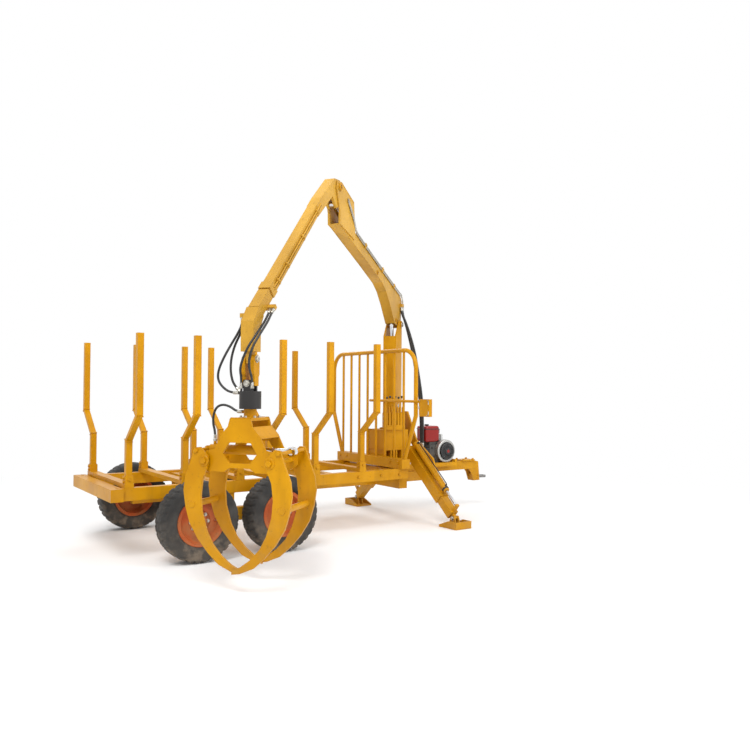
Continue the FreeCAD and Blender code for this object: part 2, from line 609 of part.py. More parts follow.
def leg(side, name):
    """Sleeve, sliding leg with its foot, and the cylinder that lies along them."""
    half, wall = "sleeve_size/2", "sleeve_wall"
    x0, x1 = "%s-sleeve_size/2" % LEG_X, "%s+sleeve_size/2" % LEG_X
    outer = slanted(strip("sleeve_from", "sleeve_to", "-" + half, half), side, x0, x1)
    hollow = slanted(strip("sleeve_from-9", "sleeve_to+9", "-%s+%s" % (half, wall), "%s-%s" % (half, wall)),
                     side, x0 + "+" + wall, x1 + "-" + wall)
    saddles = [slanted(strip(s, s + "+30", half + "-1", "ram_off"), side, "%s-22" % LEG_X, "%s+22" % LEG_X)
               for s in ("sleeve_from+40", "sleeve_to-80")]
    seat = leg_bar(side, "sleeve_from", "sleeve_to", "ram_off", "ram_dia/2")
    brace = profile("YZ", [("%s*(%s)" % (side, y), z) for y, z in
                           (("1", "brace_top"), ("36", "brace_top"), ("230", "deck_top-135"), ("560", "deck_top-345"),
                            ("640", "deck_top-530"), ("600", "deck_top-580"), ("162", "deck_top-220"), ("1", "deck_top-60"))],
                    x1 + "-brace_thick", x1)
    node("leg_sleeve_" + name, [cut(fuse(cut(outer, hollow), brace, *saddles), seat, hollow)])
    barrel = leg_bar(side, "sleeve_from+10", "sleeve_to-30", "ram_off", "ram_dia/2")
    room = leg_bar(side, "sleeve_from", "sleeve_to-50", "ram_off", "ram_rod/2+run_fit")
    node("leg_barrel_" + name, [cut(barrel, room)])
    inner = "sleeve_size/2-sleeve_wall-slide_gap"
    tube = slanted(strip("45", "leg_to", "-(%s)" % inner, inner), side,
                   "%s-(%s)" % (LEG_X, inner), "%s+%s" % (LEG_X, inner))
    tongue = slanted(strip("-26", "50", "-24", "24"), side, "%s-19" % LEG_X, "%s+19" % LEG_X)
    bore = mid_rod("X", (LEG_X, "%s*ankle_out" % side, "ankle_up"), "eye_pin/2+run_fit", "60")
    horn = slanted(strip("52", "82", inner + "-1", "ram_off+24"), side, "%s-20" % LEG_X, "%s+20" % LEG_X)
    stem = leg_bar(side, "60", "sleeve_to-420", "ram_off", "ram_rod/2")
    node("leg_rod_" + name, [stem])
    foot = [box("%s-foot_wide/2" % LEG_X, "%s+foot_wide/2" % LEG_X, "%s*ankle_out-foot_long/2" % side,
                "%s*ankle_out+foot_long/2" % side, "0", "foot_thick")]
    for low, high in (("-foot_wide/2", "-foot_wide/2+foot_thick"), ("foot_wide/2-foot_thick", "foot_wide/2")):
        foot.append(profile("YZ", [("%s*(ankle_out+foot_long/2)" % side, "foot_thick-1"),
                                   ("%s*(ankle_out+foot_long/2)" % side, "foot_thick+70"),
                                   ("%s*(ankle_out+20)" % side, "foot_thick+70"),
                                   ("%s*(ankle_out-foot_long/2)" % side, "foot_thick+8"),
                                   ("%s*(ankle_out-foot_long/2)" % side, "foot_thick-1")],
                            "%s+(%s)" % (LEG_X, low), "%s+(%s)" % (LEG_X, high)))
    foot.append(box("%s-foot_wide/2" % LEG_X, "%s+foot_wide/2" % LEG_X,
                    "%s*(ankle_out+foot_long/2)-foot_thick/2" % side, "%s*(ankle_out+foot_long/2)+foot_thick/2" % side,
                    "0", "foot_thick+70"))
    for low, high in (("-38", "-22"), ("22", "38")):
        ear = profile("YZ", [("%s*ankle_out-75" % side, "foot_thick-1"), ("%s*ankle_out+75" % side, "foot_thick-1"),
                             ("%s*ankle_out+26" % side, "ankle_up+26"), ("%s*ankle_out-26" % side, "ankle_up+26")],
                      "%s+(%s)" % (LEG_X, low), "%s+(%s)" % (LEG_X, high))
        foot.append(ear)
    foot.append(mid_rod("X", (LEG_X, "%s*ankle_out" % side, "ankle_up"), "eye_pin/2", "96"))
    node("leg_" + name, [cut(fuse(tube, tongue, horn), bore, leg_bar(side, "60", "90", "ram_off", "ram_rod/2")),
                         fuse(*foot)], joined=False)


leg("1", "left")
leg("-1", "right")

# ---------------------------------------------------------------- column
cheek_out = "mast_wide/2"
cheek = [("-mast_back", "neck_top+turn_gap"), ("mast_front", "neck_top+turn_gap"),
         ("mast_front", "boom_pin_z-160"), ("boom_pin_x+60", "boom_pin_z+50"),
         ("boom_pin_x-45", "boom_pin_z+50"), ("-mast_back", "boom_pin_z-10")]
mast_parts = [profile("XZ", cheek, "%s-cheek_wall" % cheek_out, cheek_out),
              profile("XZ", cheek, "-(%s)" % cheek_out, "-(%s)+cheek_wall" % cheek_out)]
mast_parts.append(box("mast_front-cheek_wall", "mast_front", "-(%s)+1" % cheek_out, "%s-1" % cheek_out,
                      "neck_top+turn_gap", "boom_pin_z-160"))
mast_parts.append(rod("Z", ("0", "0", "neck_top+turn_gap"), "neck_dia/2", "flange_thick"))
mast_parts.append(mid_rod("Y", ("boom_pin_x", "0", "boom_pin_z"), "pin_dia/2", "mast_wide+30"))
mast_parts.append(mid_rod("Y", ("lift_foot_x", "0", "lift_foot_z"), "eye_pin/2", "mast_wide"))
mast_node("column", mast_parts)


# ---------------------------------------------------------------- cylinders
def ram(foot, eye, dia, rod_dia, barrel, start, eye_wide):
    """Cylinder in the XZ plane from its foot to its rod's eye: barrel and rod nodes' shapes."""
    body = [along_rod(foot, eye, "eye_pin/2+4", barrel, "(%s)/2" % dia)]
    lug = mid_rod("Y", (foot[0], "0", foot[1]), "eye_pin/2+14", eye_wide)
    bore = mid_rod("Y", (foot[0], "0", foot[1]), "eye_pin/2+run_fit", eye_wide + "+4")
    hole = along_rod(foot, eye, "eye_pin/2+40", barrel + "+1", "(%s)/2+run_fit" % rod_dia)
    outer = cut(fuse(body[0], lug), fuse(bore, hole))
    span = "(%s)" % length(foot, eye)
    stem = along_rod(foot, eye, start, "%s-eye_pin/2-6" % span, "(%s)/2" % rod_dia)
    ring_out = mid_rod("Y", (eye[0], "0", eye[1]), "eye_pin/2+14", eye_wide)
    ring_in = mid_rod("Y", (eye[0], "0", eye[1]), "eye_pin/2", eye_wide + "+4")
    return outer, cut(fuse(stem, ring_out), ring_in)


def length(p, q):
    return "sqrt(pow((%s)-(%s);2)+pow((%s)-(%s);2))" % (q[0], p[0], q[1], p[1])


def point(p, q, s, n):
    """Point at a distance along a line from p to q, and off to its left."""
    span = length(p, q)
    x = "(%s)+((%s)*((%s)-(%s))-(%s)*((%s)-(%s)))/%s" % (p[0], s, q[0], p[0], n, q[1], p[1], span)
    z = "(%s)+((%s)*((%s)-(%s))+(%s)*((%s)-(%s)))/%s" % (p[1], s, q[1], p[1], n, q[0], p[0], span)
    return x, z


def angle_of(p, q):
    return "(atan2((%s)-(%s);(%s)-(%s))/1deg)" % (q[1], p[1], q[0], p[0])


def along_rod(p, q, start, stop, radius):
    """Round bar along the line from p to q in the XZ plane, between two distances."""
    at = point(p, q, start, "0")
    return lean_rod("XZ", (at[0], "0", at[1]), angle_of(p, q), radius, "(%s)-(%s)" % (stop, start))


def band(p, q, s0, s1, n0, n1, low, high):
    """Flat bar along the line from p to q, between two offsets to its left."""
    corners = [point(p, q, s, n) for s, n in ((s0, n0), (s1, n0), (s1, n1), (s0, n1))]
    return profile("XZ", corners, low, high)


lift = ram(("lift_foot_x", "lift_foot_z"), ("lift_eye_x", "lift_eye_z"),
           "lift_dia", "lift_rod", "760", "260", "60")
mast_node("lift_barrel", [lift[0]])
mast_node("lift_rod", [lift[1]])

# ---------------------------------------------------------------- boom
BOOM = [("boom_pin_x-58", "boom_pin_z-33"), ("boom_pin_x+190", "boom_pin_z+3"), ("lift_eye_x+252", "lift_eye_z+175"),
        ("lift_eye_x+402", "lift_eye_z+321"), ("arch_x-389", "arch_z-208"), ("arch_x+32", "arch_z-boom_deep/2-7"),
        ("nose_x", "apex_z-nose_drop-boom_deep/2"), ("nose_x", "apex_z-nose_drop+boom_deep/2"),
        ("arch_x-30", "arch_z+boom_deep/2+8"), ("boom_pin_x-42", "boom_pin_z+357"),
        ("boom_pin_x-92", "boom_pin_z+298")]
FORK = [("nose_x", "apex_z-nose_drop-boom_deep/2"), ("nose_x+5", "apex_z-nose_drop+boom_deep/2"), ("apex_x+73", "apex_z-25"),
        ("apex_x+46", "apex_z+58"), ("apex_x-42", "apex_z+61"), ("apex_x-406", "apex_z-67"),
        ("apex_x-439", "apex_z-nose_drop-49"), ("apex_x-435", "apex_z-nose_drop-boom_deep/2-92")]
boom_in = "boom_wide/2-boom_wall"
boom_parts = [profile("XZ", BOOM, boom_in, "boom_wide/2"), profile("XZ", BOOM, "-boom_wide/2", "-(%s)" % boom_in),
              profile("XZ", FORK, "boom_wide/2-1", "boom_wide/2+fork_wall"),
              profile("XZ", FORK, "-boom_wide/2-fork_wall", "-boom_wide/2+1")]
for first, last in ((1, 2), (2, 3), (3, 4), (4, 5), (5, 6), (8, 9), (9, 10)):
    reach = length(BOOM[first], BOOM[last])
    start = "-boom_wall" if 2 <= first <= 5 else "0"
    stop = reach + "+boom_wall" if first <= 4 else reach
    boom_parts.append(band(BOOM[first], BOOM[last], start, stop, "0", "boom_wall",
                           "-(%s)-1" % boom_in, "%s+1" % boom_in))
top_reach = length(BOOM[7], BOOM[8])
boom_parts.append(band(BOOM[7], BOOM[8], "835", top_reach, "0", "boom_wall", "-(%s)-1" % boom_in, "%s+1" % boom_in))
for at in (("boom_pin_x", "boom_pin_z"), ("apex_x", "apex_z")):
    side = "mast_wide/2-cheek_wall-side_gap" if at[0] == "boom_pin_x" else "boom_wide/2+fork_wall+8"
    boom_parts.append(mid_rod("Y", (at[0], "0", at[1]), "boss_dia/2", "2*(%s)" % side))
boom_parts.append(box("-165", "-95", "boom_wide/2-1", "96", "2700", "2745"))
boom_solid = fuse(*boom_parts)
gaps = [mid_rod("Y", ("boom_pin_x", "0", "boom_pin_z"), "pin_dia/2+run_fit", "mast_wide"),
        mid_rod("Y", ("apex_x", "0", "apex_z"), "boss_dia/2+1", "boom_wide"),
        mid_rod("Y", ("boom_pin_x", "0", "boom_pin_z"), "boss_dia/2+1", "40")]
pins = [mid_rod("Y", ("apex_x", "0", "apex_z"), "pin_dia/2", "boom_wide+4"),
        mid_rod("Y", ("jib_foot_x", "0", "jib_foot_z"), "eye_pin/2", "boom_wide")]
mast_node("boom", [fuse(cut(boom_solid, *gaps[:2]), *pins)])
reach_in = ram(("jib_foot_x", "jib_foot_z"), ("jib_eye_x", "apex_z-jib_eye_drop"),
               "jib_ram", "jib_rod", "780", "300", "44")
mast_node("jib_barrel", [reach_in[0]])
mast_node("jib_rod", [reach_in[1]])

# ---------------------------------------------------------------- jib
ELBOW, STEP = ("elbow_x", "elbow_z"), ("step_x", "step_z")
JIB_LONG = length(ELBOW, STEP)
top_turn, low_turn = point(ELBOW, STEP, "-20", "jib_deep/2"), point(ELBOW, STEP, "40", "-jib_deep/2")
HEAD = [("apex_x-58", "apex_z-8"), ("apex_x-48", "apex_z+82"), ("apex_x+100", "apex_z+66"), top_turn,
        point(ELBOW, STEP, "130", "jib_deep/2"), point(ELBOW, STEP, "180", "-jib_deep/2"),
        ("apex_x+144", "apex_z-129"), ("jib_eye_x+47", "apex_z-jib_eye_drop-16"), ("jib_eye_x+5", "apex_z-jib_eye_drop-42"),
        ("jib_eye_x-40", "apex_z-jib_eye_drop-15")]
head_out = "boom_wide/2-side_gap"
jib_parts = [profile("XZ", HEAD, "28", head_out), profile("XZ", HEAD, "-(%s)" % head_out, "-28")]
jib_parts.append(band(ELBOW, STEP, "0", JIB_LONG, "-jib_deep/2", "jib_deep/2", "-jib_wide/2", "jib_wide/2"))
jib_parts.append(profile("XZ", HEAD[:7], "-30", "30"))
jib_parts.append(band(ELBOW, STEP, "%s-90" % JIB_LONG, JIB_LONG, "-jib_deep/2-8", "jib_deep/2+8",
                      "-jib_wide/2-8", "jib_wide/2+8"))
cavity = band(ELBOW, STEP, "%s-ext_in-220" % JIB_LONG, "%s+10" % JIB_LONG, "-jib_deep/2+jib_wall",
              "jib_deep/2-jib_wall", "-jib_wide/2+jib_wall", "jib_wide/2-jib_wall")
jib_bore = mid_rod("Y", ("apex_x", "0", "apex_z"), "pin_dia/2+run_fit", "boom_wide")
mast_node("jib", [cut(fuse(*jib_parts), cavity, jib_bore)])

# ---------------------------------------------------------------- extension and link
ext_half = "jib_wide/2-jib_wall-ext_gap"
ext_deep = "jib_deep/2-jib_wall-ext_gap"
BEND = ("tip_x", "bend_z")
ext_parts = [band(ELBOW, STEP, "%s-ext_in" % JIB_LONG, "%s+290" % JIB_LONG, "-(%s)" % ext_deep, ext_deep,
                  "-(%s)" % ext_half, ext_half)]
ext_parts.append(profile("XZ", [("tip_x-tip_wide/2", "tip_low"), ("tip_x+tip_wide/2", "tip_low"),
                                ("tip_x+tip_wide/2", "bend_z-20"), ("tip_x-30", "bend_z+105"),
                                ("tip_x-110", "bend_z+35"), ("tip_x-tip_wide/2", "bend_z-60")],
                         "-tip_wide/2", "tip_wide/2"))
ext_parts.append(band(ELBOW, STEP, "%s+14" % JIB_LONG, "%s+250" % JIB_LONG, "-jib_deep/2-2", "jib_deep/2+2",
                      "-jib_wide/2-2", "jib_wide/2+2"))
ext_parts.append(box("tip_x-38", "tip_x+38", "-link_gap/2+side_gap", "link_gap/2-side_gap",
                     "link_z-38", "tip_low+5"))
ext_parts.append(mid_rod("Y", ("tip_x", "0", "link_z"), "link_pin/2", "link_gap+2*link_arm+20"))
ext_parts.append(box("tip_x-40", "tip_x+20", "-94", "-tip_wide/2+1", "2215", "2250"))
ext_parts.append(band(ELBOW, STEP, "%s+112" % JIB_LONG, "%s+152" % JIB_LONG, "-76", "-(%s)+1" % ext_deep,
                      "-(%s)" % ext_half, "122"))
mast_node("extension", [fuse(*ext_parts)])
link_parts = []
for side in ("1", "-1"):
    low, high = ("link_gap/2", "link_gap/2+link_arm")
    if side == "-1":
        low, high = "-link_gap/2-link_arm", "-link_gap/2"
    arm = profile("XZ", [("tip_x-34", "swing_z-20"), ("tip_x+34", "swing_z-20"), ("tip_x+34", "swing_z+52"),
                         ("tip_x+48", "swing_z+76"), ("tip_x+48", "link_z-10"), ("tip_x+22", "link_z+36"),
                         ("tip_x-22", "link_z+36"), ("tip_x-48", "link_z-10"), ("tip_x-48", "swing_z+76"),
                         ("tip_x-34", "swing_z+52")], low, high)
    link_parts.append(arm)
link_parts.append(box("tip_x-28", "tip_x+28", "-link_gap/2-1", "link_gap/2+1", "swing_z-20", "swing_z+22"))
link_solid = cut(fuse(*link_parts), mid_rod("Y", ("tip_x", "0", "link_z"), "link_pin/2+run_fit", "300"))
mast_node("link", [fuse(link_solid, mid_rod("X", ("tip_x", "0", "swing_z"), "link_pin/2", "140"))])

# ---------------------------------------------------------------- rotator and grapple
rot_parts = [rod("Z", ("tip_x", "0", "rot_low"), "rot_dia/2", "rot_top-rot_low")]
for low, high in (("-62", "-41"), ("41", "62")):
    rot_parts.append(box("tip_x+(%s)" % low, "tip_x+(%s)" % high, "-32", "32", "rot_top-2", "swing_z+30"))
rot_parts.append(rod("Y", ("tip_x+5", "-108", "1592"), "13", "48"))
rot_parts.append(lean_rod("YZ", ("tip_x-25", "-70", "1570"), "140", "13", "52"))
for across in ("-50", "50"):
    rot_parts.append(rod("Z", ("tip_x+60", across, "rot_top-5"), "10", "1630-rot_top+5"))
rot_bore = mid_rod("X", ("tip_x", "0", "swing_z"), "link_pin/2+run_fit", "160")
mast_node("rotator", [cut(fuse(*rot_parts), rot_bore)])

PLATE = [("94", "neck_low-5"), ("113", "claw_pin_z+278"), ("179", "claw_pin_z+207"), ("235", "claw_pin_z+94"),
         ("claw_pin_y+5", "claw_pin_z+80"), ("claw_pin_y+52", "claw_pin_z+42"), ("claw_pin_y+52", "claw_pin_z-42"),
         ("claw_pin_y-19", "claw_pin_z-89"), ("141", "claw_pin_z-89"), ("94", "claw_pin_z-56")]
PLATE = PLATE + [("-(%s)" % y, z) for y, z in reversed(PLATE)]
HEX = [("98", "claw_pin_z+149"), ("156", "claw_pin_z+61"), ("94", "claw_pin_z-16")]
HEX = HEX + [("-(%s)" % y, z) for y, z in reversed(HEX)]
grab_parts = [rod("Z", ("0", "0", "neck_low-2"), "52", "rot_low-turn_gap-neck_low+2")]
for low, high in (("frame_off-frame_plate/2", "frame_off+frame_plate/2"),
                  ("-frame_off-frame_plate/2", "-frame_off+frame_plate/2")):
    grab_parts.append(cut(profile("YZ", PLATE, low, high), profile("YZ", HEX, low + "-5", high + "+5")))
grab_parts.append(box("-frame_off", "frame_off", "-94", "94", "neck_low-25", "neck_low"))
grab_parts.append(rod("Y", ("0", "-72", "1436"), "13", "40"))
for side in ("1", "-1"):
    slope = [("113", 278), ("179", 207), ("191", 185), ("179", 180), ("169", 200), ("104", 266)]
    grab_parts.append(profile("YZ", [("%s*%s" % (side, y), "claw_pin_z+%d" % z) for y, z in slope],
                              "-frame_off", "frame_off"))
grab_parts.append(mid_rod("X", ("0", "claw_pin_y", "claw_pin_z"), "claw_pin/2", "2*outer_off+claw_plate+24"))
grab_parts.append(mid_rod("X", ("0", "-claw_pin_y", "claw_pin_z"), "claw_pin/2", "2*inner_off+claw_plate+16"))
claw_node("grapple_frame", grab_parts)

CLAW = [("claw_pin_y+89", "claw_pin_z+104"), ("claw_pin_y+125", "claw_pin_z+5"), ("489", "905"), ("502", "792"),
        ("482", "660"), ("442", "533"), ("362", "406"), ("266", "298"), ("169", "213"), ("52", "164"), ("-24", "152"),
        ("-19", "185"), ("56", "218"), ("141", "279"), ("226", "369"), ("282", "472"), ("329", "623"), ("340", "754"),
        ("325", "886"), ("claw_pin_y-28", "claw_pin_z-52"), ("claw_pin_y-33", "claw_pin_z+38"),
        ("claw_pin_y+42", "claw_pin_z+108")]


def claw(label, side, off):
    points = [("%s*(%s)" % (side, y), z) for y, z in CLAW]
    arms = [profile("YZ", points, "%s-claw_plate/2" % off, "%s+claw_plate/2" % off),
            profile("YZ", points, "-%s-claw_plate/2" % off, "-%s+claw_plate/2" % off)]
    y_lug = "%s*lug_y" % side
    bars = [mid_rod("X", ("0", y_lug, "lug_z"), "eye_pin/2", "2*%s" % off),
            mid_rod("X", ("0", "%s*419" % side, "679"), "27", "2*%s" % off)]
    bore = mid_rod("X", ("0", "%s*claw_pin_y" % side, "claw_pin_z"), "claw_pin/2+run_fit", "2*%s+60" % off)
    claw_node(label, [fuse(cut(fuse(*arms), bore), *bars)])


claw("claw_right", "1", "outer_off")
claw("claw_left", "-1", "inner_off")

grip_eye = "eye_pin/2+14"
grip_body = fuse(rod("Y", ("0", "-lug_y+eye_pin/2+4", "lug_z"), "grip_dia/2", "lug_y+80"),
                 mid_rod("X", ("0", "-lug_y", "lug_z"), grip_eye, "60"),
                 rod("Z", ("0", "-330", "lug_z+30"), "13", "1190-lug_z-30"))
grip_cuts = fuse(mid_rod("X", ("0", "-lug_y", "lug_z"), "eye_pin/2+run_fit", "70"),
                 rod("Y", ("0", "-lug_y+60", "lug_z"), "grip_rod/2+run_fit", "lug_y+100"))
claw_node("grip_barrel", [cut(grip_body, grip_cuts)])
grip_stem = fuse(rod("Y", ("0", "-lug_y+330", "lug_z"), "grip_rod/2", "2*lug_y-330-eye_pin/2-20"),
                 mid_rod("X", ("0", "lug_y", "lug_z"), "eye_pin/2+eye_play+12", "50"))
claw_node("grip_rod", [cut(grip_stem, mid_rod("X", ("0", "lug_y", "lug_z"), "eye_pin/2+eye_play", "60"))])

# ---------------------------------------------------------------- engine pack and controls
node("engine_bed", [box("pump_at-60", "engine_at+270", "-190", "190", "draw_low+draw_high", "bed_top"),
                    box("engine_at+235", "engine_at+270", "-190", "190", "bed_top-1", "bed_top+35"),
                    box("pump_at-60", "engine_at+270", "-190", "-176", "bed_top-50", "bed_top-1")])
motor_low, motor_up = "engine_at-motor_long/2", "engine_at+motor_long/2"
node("engine_block", [fuse(box(motor_low, motor_up, "-motor_wide/2", "motor_wide/2", "bed_top", "bed_top+motor_high-40"),
                           box(motor_low + "+20", motor_up + "-60", "-motor_wide/2+25", "motor_wide/2-20",
                               "bed_top+motor_high-41", "bed_top+motor_high"),
                           rod("X", (motor_up + "-1", "0", "bed_top+90"), "45", "60"))])
node("fuel_tank", [box("engine_at-200", "engine_at-200+tank_long", "-110", "-110+tank_wide",
                       "bed_top+motor_high", "bed_top+motor_high+tank_high"),
                   ])
node("engine_fan", [fuse(rod("Y", ("engine_at+100", "-motor_wide/2-50", "bed_top+shroud_dia/2+2"), "shroud_dia/2", "50"),
                         rod("Y", ("engine_at+100", "-motor_wide/2-84", "bed_top+shroud_dia/2+2"), "starter_dia/2", "35"))])
node("hydraulic_pump", [fuse(box("pump_at-46", motor_low, "-118", "-18", "bed_top", "bed_top+195"),
                             *[rod("Z", ("pump_at", y, "bed_top+194"), "15", "21") for y in ("-52", "-84")])])
case_back = "head_at-case_deep/2"
node("control_box", [box(case_back, case_back + "+case_deep", "-case_wide-" + bar_reach, "-" + bar_reach,
                         "bar_up+cross_dia/2-case_high+12", "bar_up+cross_dia/2+12")])


# ---------------------------------------------------------------- hoses
def bent_tube(points, radius):
    """Tube along straight runs joined by arcs as large as their runs allow."""
    pts = [Vector(*p) for p in points]
    runs = [b - a for a, b in zip(pts, pts[1:])]
    edges, start = [], pts[0]
    for corner, before, behind in zip(pts[1:-1], runs, runs[1:]):
        reach = 0.45 * min(before.Length, behind.Length)
        ahead, back = Vector(behind).normalize(), Vector(before).normalize()
        first, last = corner - back * reach, corner + ahead * reach
        half = ahead.getAngle(back) / 2
        inward = (ahead - back).normalize()
        middle = corner + inward * (reach / math.sin(half) - reach / math.tan(half))
        edges += [Part.makeLine(start, first), Part.Arc(first, middle, last).toShape()]
        start = last
    edges.append(Part.makeLine(start, pts[-1]))
    ends = Part.Wire([Part.makeCircle(radius, pts[0], runs[0])])
    return Part.Wire(edges).makePipeShell([ends], True, True)


def hose(label, points, size, made):
    """A hose as one closed tube, carried to its place by one of the node makers."""
    tube = new("Part::Feature", "Tube")
    tube.Shape = bent_tube(points, sheet.get(size) / 2)
    made(label, [tube])


TIP = sheet.get("tip_x")
MAST = sheet.get("mast_at")
hose("hose_outer", [(TIP + e, n, z) for e, n, z in (
    (5, -78, 2215), (5, -78, 2160), (5, -122, 2080), (5, -190, 1983), (5, -255, 1880), (5, -303, 1780),
    (5, -308, 1700), (5, -262, 1638), (5, -185, 1592), (5, -108, 1592))], "hose_dia", mast_node)
hose("hose_second", [(TIP + e, n, z) for e, n, z in (
    (-25, -78, 2215), (-25, -78, 2160), (-25, -112, 2085), (-25, -160, 2000), (-25, -193, 1905), (-25, -205, 1812),
    (-25, -196, 1722), (-25, -164.99, 1649.71), (-25, -110.064, 1603.618))], "hose_dia", mast_node)
hose("hose_inner", [(TIP + e, n, z) for e, n, z in (
    (-189.79, 80, 2298.19), (-150.8, 80, 2259.8), (-75, 90, 2190), (15, 98, 2125), (80, 84, 2050), (122, 44, 1965),
    (132, 2, 1868), (118, -32, 1785), (60, -50, 1710), (60, -50, 1630))], "hose_dia", mast_node)
hose("hose_front", [(TIP + e, n, z) for e, n, z in (
    (-189.79, 108, 2298.19), (-150.8, 108, 2259.8), (-72, 118, 2185), (22, 126, 2115), (92, 112, 2035), (130, 84, 1950),
    (138, 62, 1860), (116, 54, 1780), (60, 50, 1710), (60, 50, 1630))], "hose_dia", mast_node)
hose("hose_grapple", [(0, n, z) for n, z in (
    (-72, 1436), (-125, 1436), (-190, 1478), (-262, 1495), (-322, 1470), (-350, 1405), (-352, 1330), (-330, 1262),
    (-330, 1190))], "hose_dia", claw_node)
hose("hose_supply", [(MAST + x, y, z) for x, y, z in (
    (165.2, 20.5, 2700), (165.2, 20.5, 2630), (222, 4, 2462), (308, -14, 2139), (364, -30, 1817), (414, -44, 1520),
    (428, -50, 1200), (432, -52, 960), (432, -52, 880))], "main_hose", node)
hose("hose_return", [(MAST + x, y, z) for x, y, z in (
    (137.3, 1, 2700), (137.3, 1, 2630), (202, -40, 2462), (298, -76, 2139), (356, -92, 1817), (404, -102, 1520),
    (424, -98, 1200), (432, -84, 960), (432, -84, 880))], "main_hose", node)

# ---------------------------------------------------------------- finish
doc.recompute()
for obj in doc.Objects:
    if "Invalid" in obj.State or "Error" in obj.State:
        raise RuntimeError("%s failed: %s" % (obj.Label, obj.State))
for obj in nodes:
    if obj.Shape.isNull() or not obj.Shape.isValid() or not obj.Shape.Solids:
        raise RuntimeError("%s has no sound shape" % obj.Label)
os.makedirs("parts", exist_ok=True)
for obj in nodes:
    obj.Shape.exportStep("parts/%s.step" % obj.Label)
    print(obj.Label, len(obj.Shape.Solids), round(obj.Shape.Volume / 1e6, 2))
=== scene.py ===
# %% [markdown]
# A farm-size log trailer with its own loader crane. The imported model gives
# every rigid part, in metres, with +X towards the tractor and +Z up. This
# lesson paints those parts, adds what a drawing of the steel leaves out, such
# as hoses, tyre tread, pin heads and the engine's fittings, and shows the
# result in a plain studio.

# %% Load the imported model
import json
import math
import bmesh
import bpy
import numpy as np
from mathutils import Matrix, Vector


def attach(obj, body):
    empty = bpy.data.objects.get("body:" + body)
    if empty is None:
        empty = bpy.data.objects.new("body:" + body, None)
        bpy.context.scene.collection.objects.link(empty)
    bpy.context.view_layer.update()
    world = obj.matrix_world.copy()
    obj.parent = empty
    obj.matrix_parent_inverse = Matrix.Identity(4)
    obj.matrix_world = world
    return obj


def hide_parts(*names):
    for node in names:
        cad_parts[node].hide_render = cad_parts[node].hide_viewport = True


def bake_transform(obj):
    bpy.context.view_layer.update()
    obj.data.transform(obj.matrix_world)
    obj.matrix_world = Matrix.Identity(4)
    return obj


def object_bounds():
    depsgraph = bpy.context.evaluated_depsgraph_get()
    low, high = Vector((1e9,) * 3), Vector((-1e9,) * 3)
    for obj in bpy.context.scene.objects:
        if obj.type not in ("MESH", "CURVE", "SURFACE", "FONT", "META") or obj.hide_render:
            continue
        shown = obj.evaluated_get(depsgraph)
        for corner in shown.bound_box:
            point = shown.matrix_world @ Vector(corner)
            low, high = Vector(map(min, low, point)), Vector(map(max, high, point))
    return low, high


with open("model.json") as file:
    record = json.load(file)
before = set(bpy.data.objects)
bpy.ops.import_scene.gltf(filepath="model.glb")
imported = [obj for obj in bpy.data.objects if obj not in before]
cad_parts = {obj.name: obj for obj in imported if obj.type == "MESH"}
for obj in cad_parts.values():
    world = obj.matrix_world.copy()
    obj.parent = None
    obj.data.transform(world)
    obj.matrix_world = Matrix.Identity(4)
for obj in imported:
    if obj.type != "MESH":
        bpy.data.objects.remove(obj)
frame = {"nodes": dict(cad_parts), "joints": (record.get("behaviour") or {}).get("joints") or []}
cad_box = [list(corner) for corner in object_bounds()]
nodes, joints = frame["nodes"], {j["name"]: j for j in frame["joints"]}

# %% [markdown]
# The crane turns about a vertical axis, which its slewing joint records. The
# trailer's own zero is the rearmost bunk, 3554 mm behind that axis. At rest
# the boom points 215 degrees round from straight ahead. Two helpers turn
# sizes from the drawings, in millimetres, into places: `spot` counts from
# the trailer's zero, and `reach` counts along the boom and across it.

# %% Where things are
MAST = 3554     # slewing axis, ahead of the trailer's zero
TIP = 3664      # grapple's axis, along the boom from the slewing axis
SLEW = math.radians(215.0)
slew_axis = Vector(joints["slew"]["pos_m"])
mast_foot = np.array([slew_axis.x, slew_axis.y, 0.0])
zero = mast_foot - [MAST / 1000, 0.0, 0.0]
ALONG = np.array([math.cos(SLEW), math.sin(SLEW), 0.0])
ACROSS = np.array([-math.sin(SLEW), math.cos(SLEW), 0.0])
UP = np.array([0.0, 0.0, 1.0])


def spot(x, y, z):
    """Place in metres of a point on the trailer, from millimetres."""
    return zero + np.array([x, y, z], float) / 1000


def reach(x, n, z):
    """Place in metres of a point on the crane: along the boom, across it, up."""
    return mast_foot + (ALONG * x + ACROSS * n + UP * z) / 1000


print("trailer zero at", zero.round(3), "claws hang at", reach(TIP, 0, 0).round(3))

# %% [markdown]
# The camera stands at a grown person's eye height behind the right rear
# corner and looks forward along the trailer. A lens of 35 mm on a 36 mm
# sensor gives the perspective. Its three axes are written as a rotation.

# %% Camera
EYE = Vector(zero) + Vector((-2.096, -7.678, 1.6235))
YAW, PITCH, ROLL = (math.radians(a) for a in (55.02, 1.142, 0.331))
ahead = Vector((math.cos(YAW) * math.cos(PITCH), math.sin(YAW) * math.cos(PITCH), math.sin(PITCH)))
level = Vector((math.sin(YAW), -math.cos(YAW), 0.0))
right = level * math.cos(ROLL) + level.cross(ahead) * math.sin(ROLL)
above = right.cross(ahead)
camera = bpy.data.objects.new("Camera", bpy.data.cameras.new("Camera"))
bpy.context.scene.collection.objects.link(camera)
camera.data.sensor_width, camera.data.lens, camera.data.clip_end = 36.0, 35.44, 200.0
camera.matrix_world = Matrix.Translation(EYE) @ Matrix((right, above, -ahead)).transposed().to_4x4()
bpy.context.scene.camera = camera
print("camera at", [round(v, 3) for v in EYE])

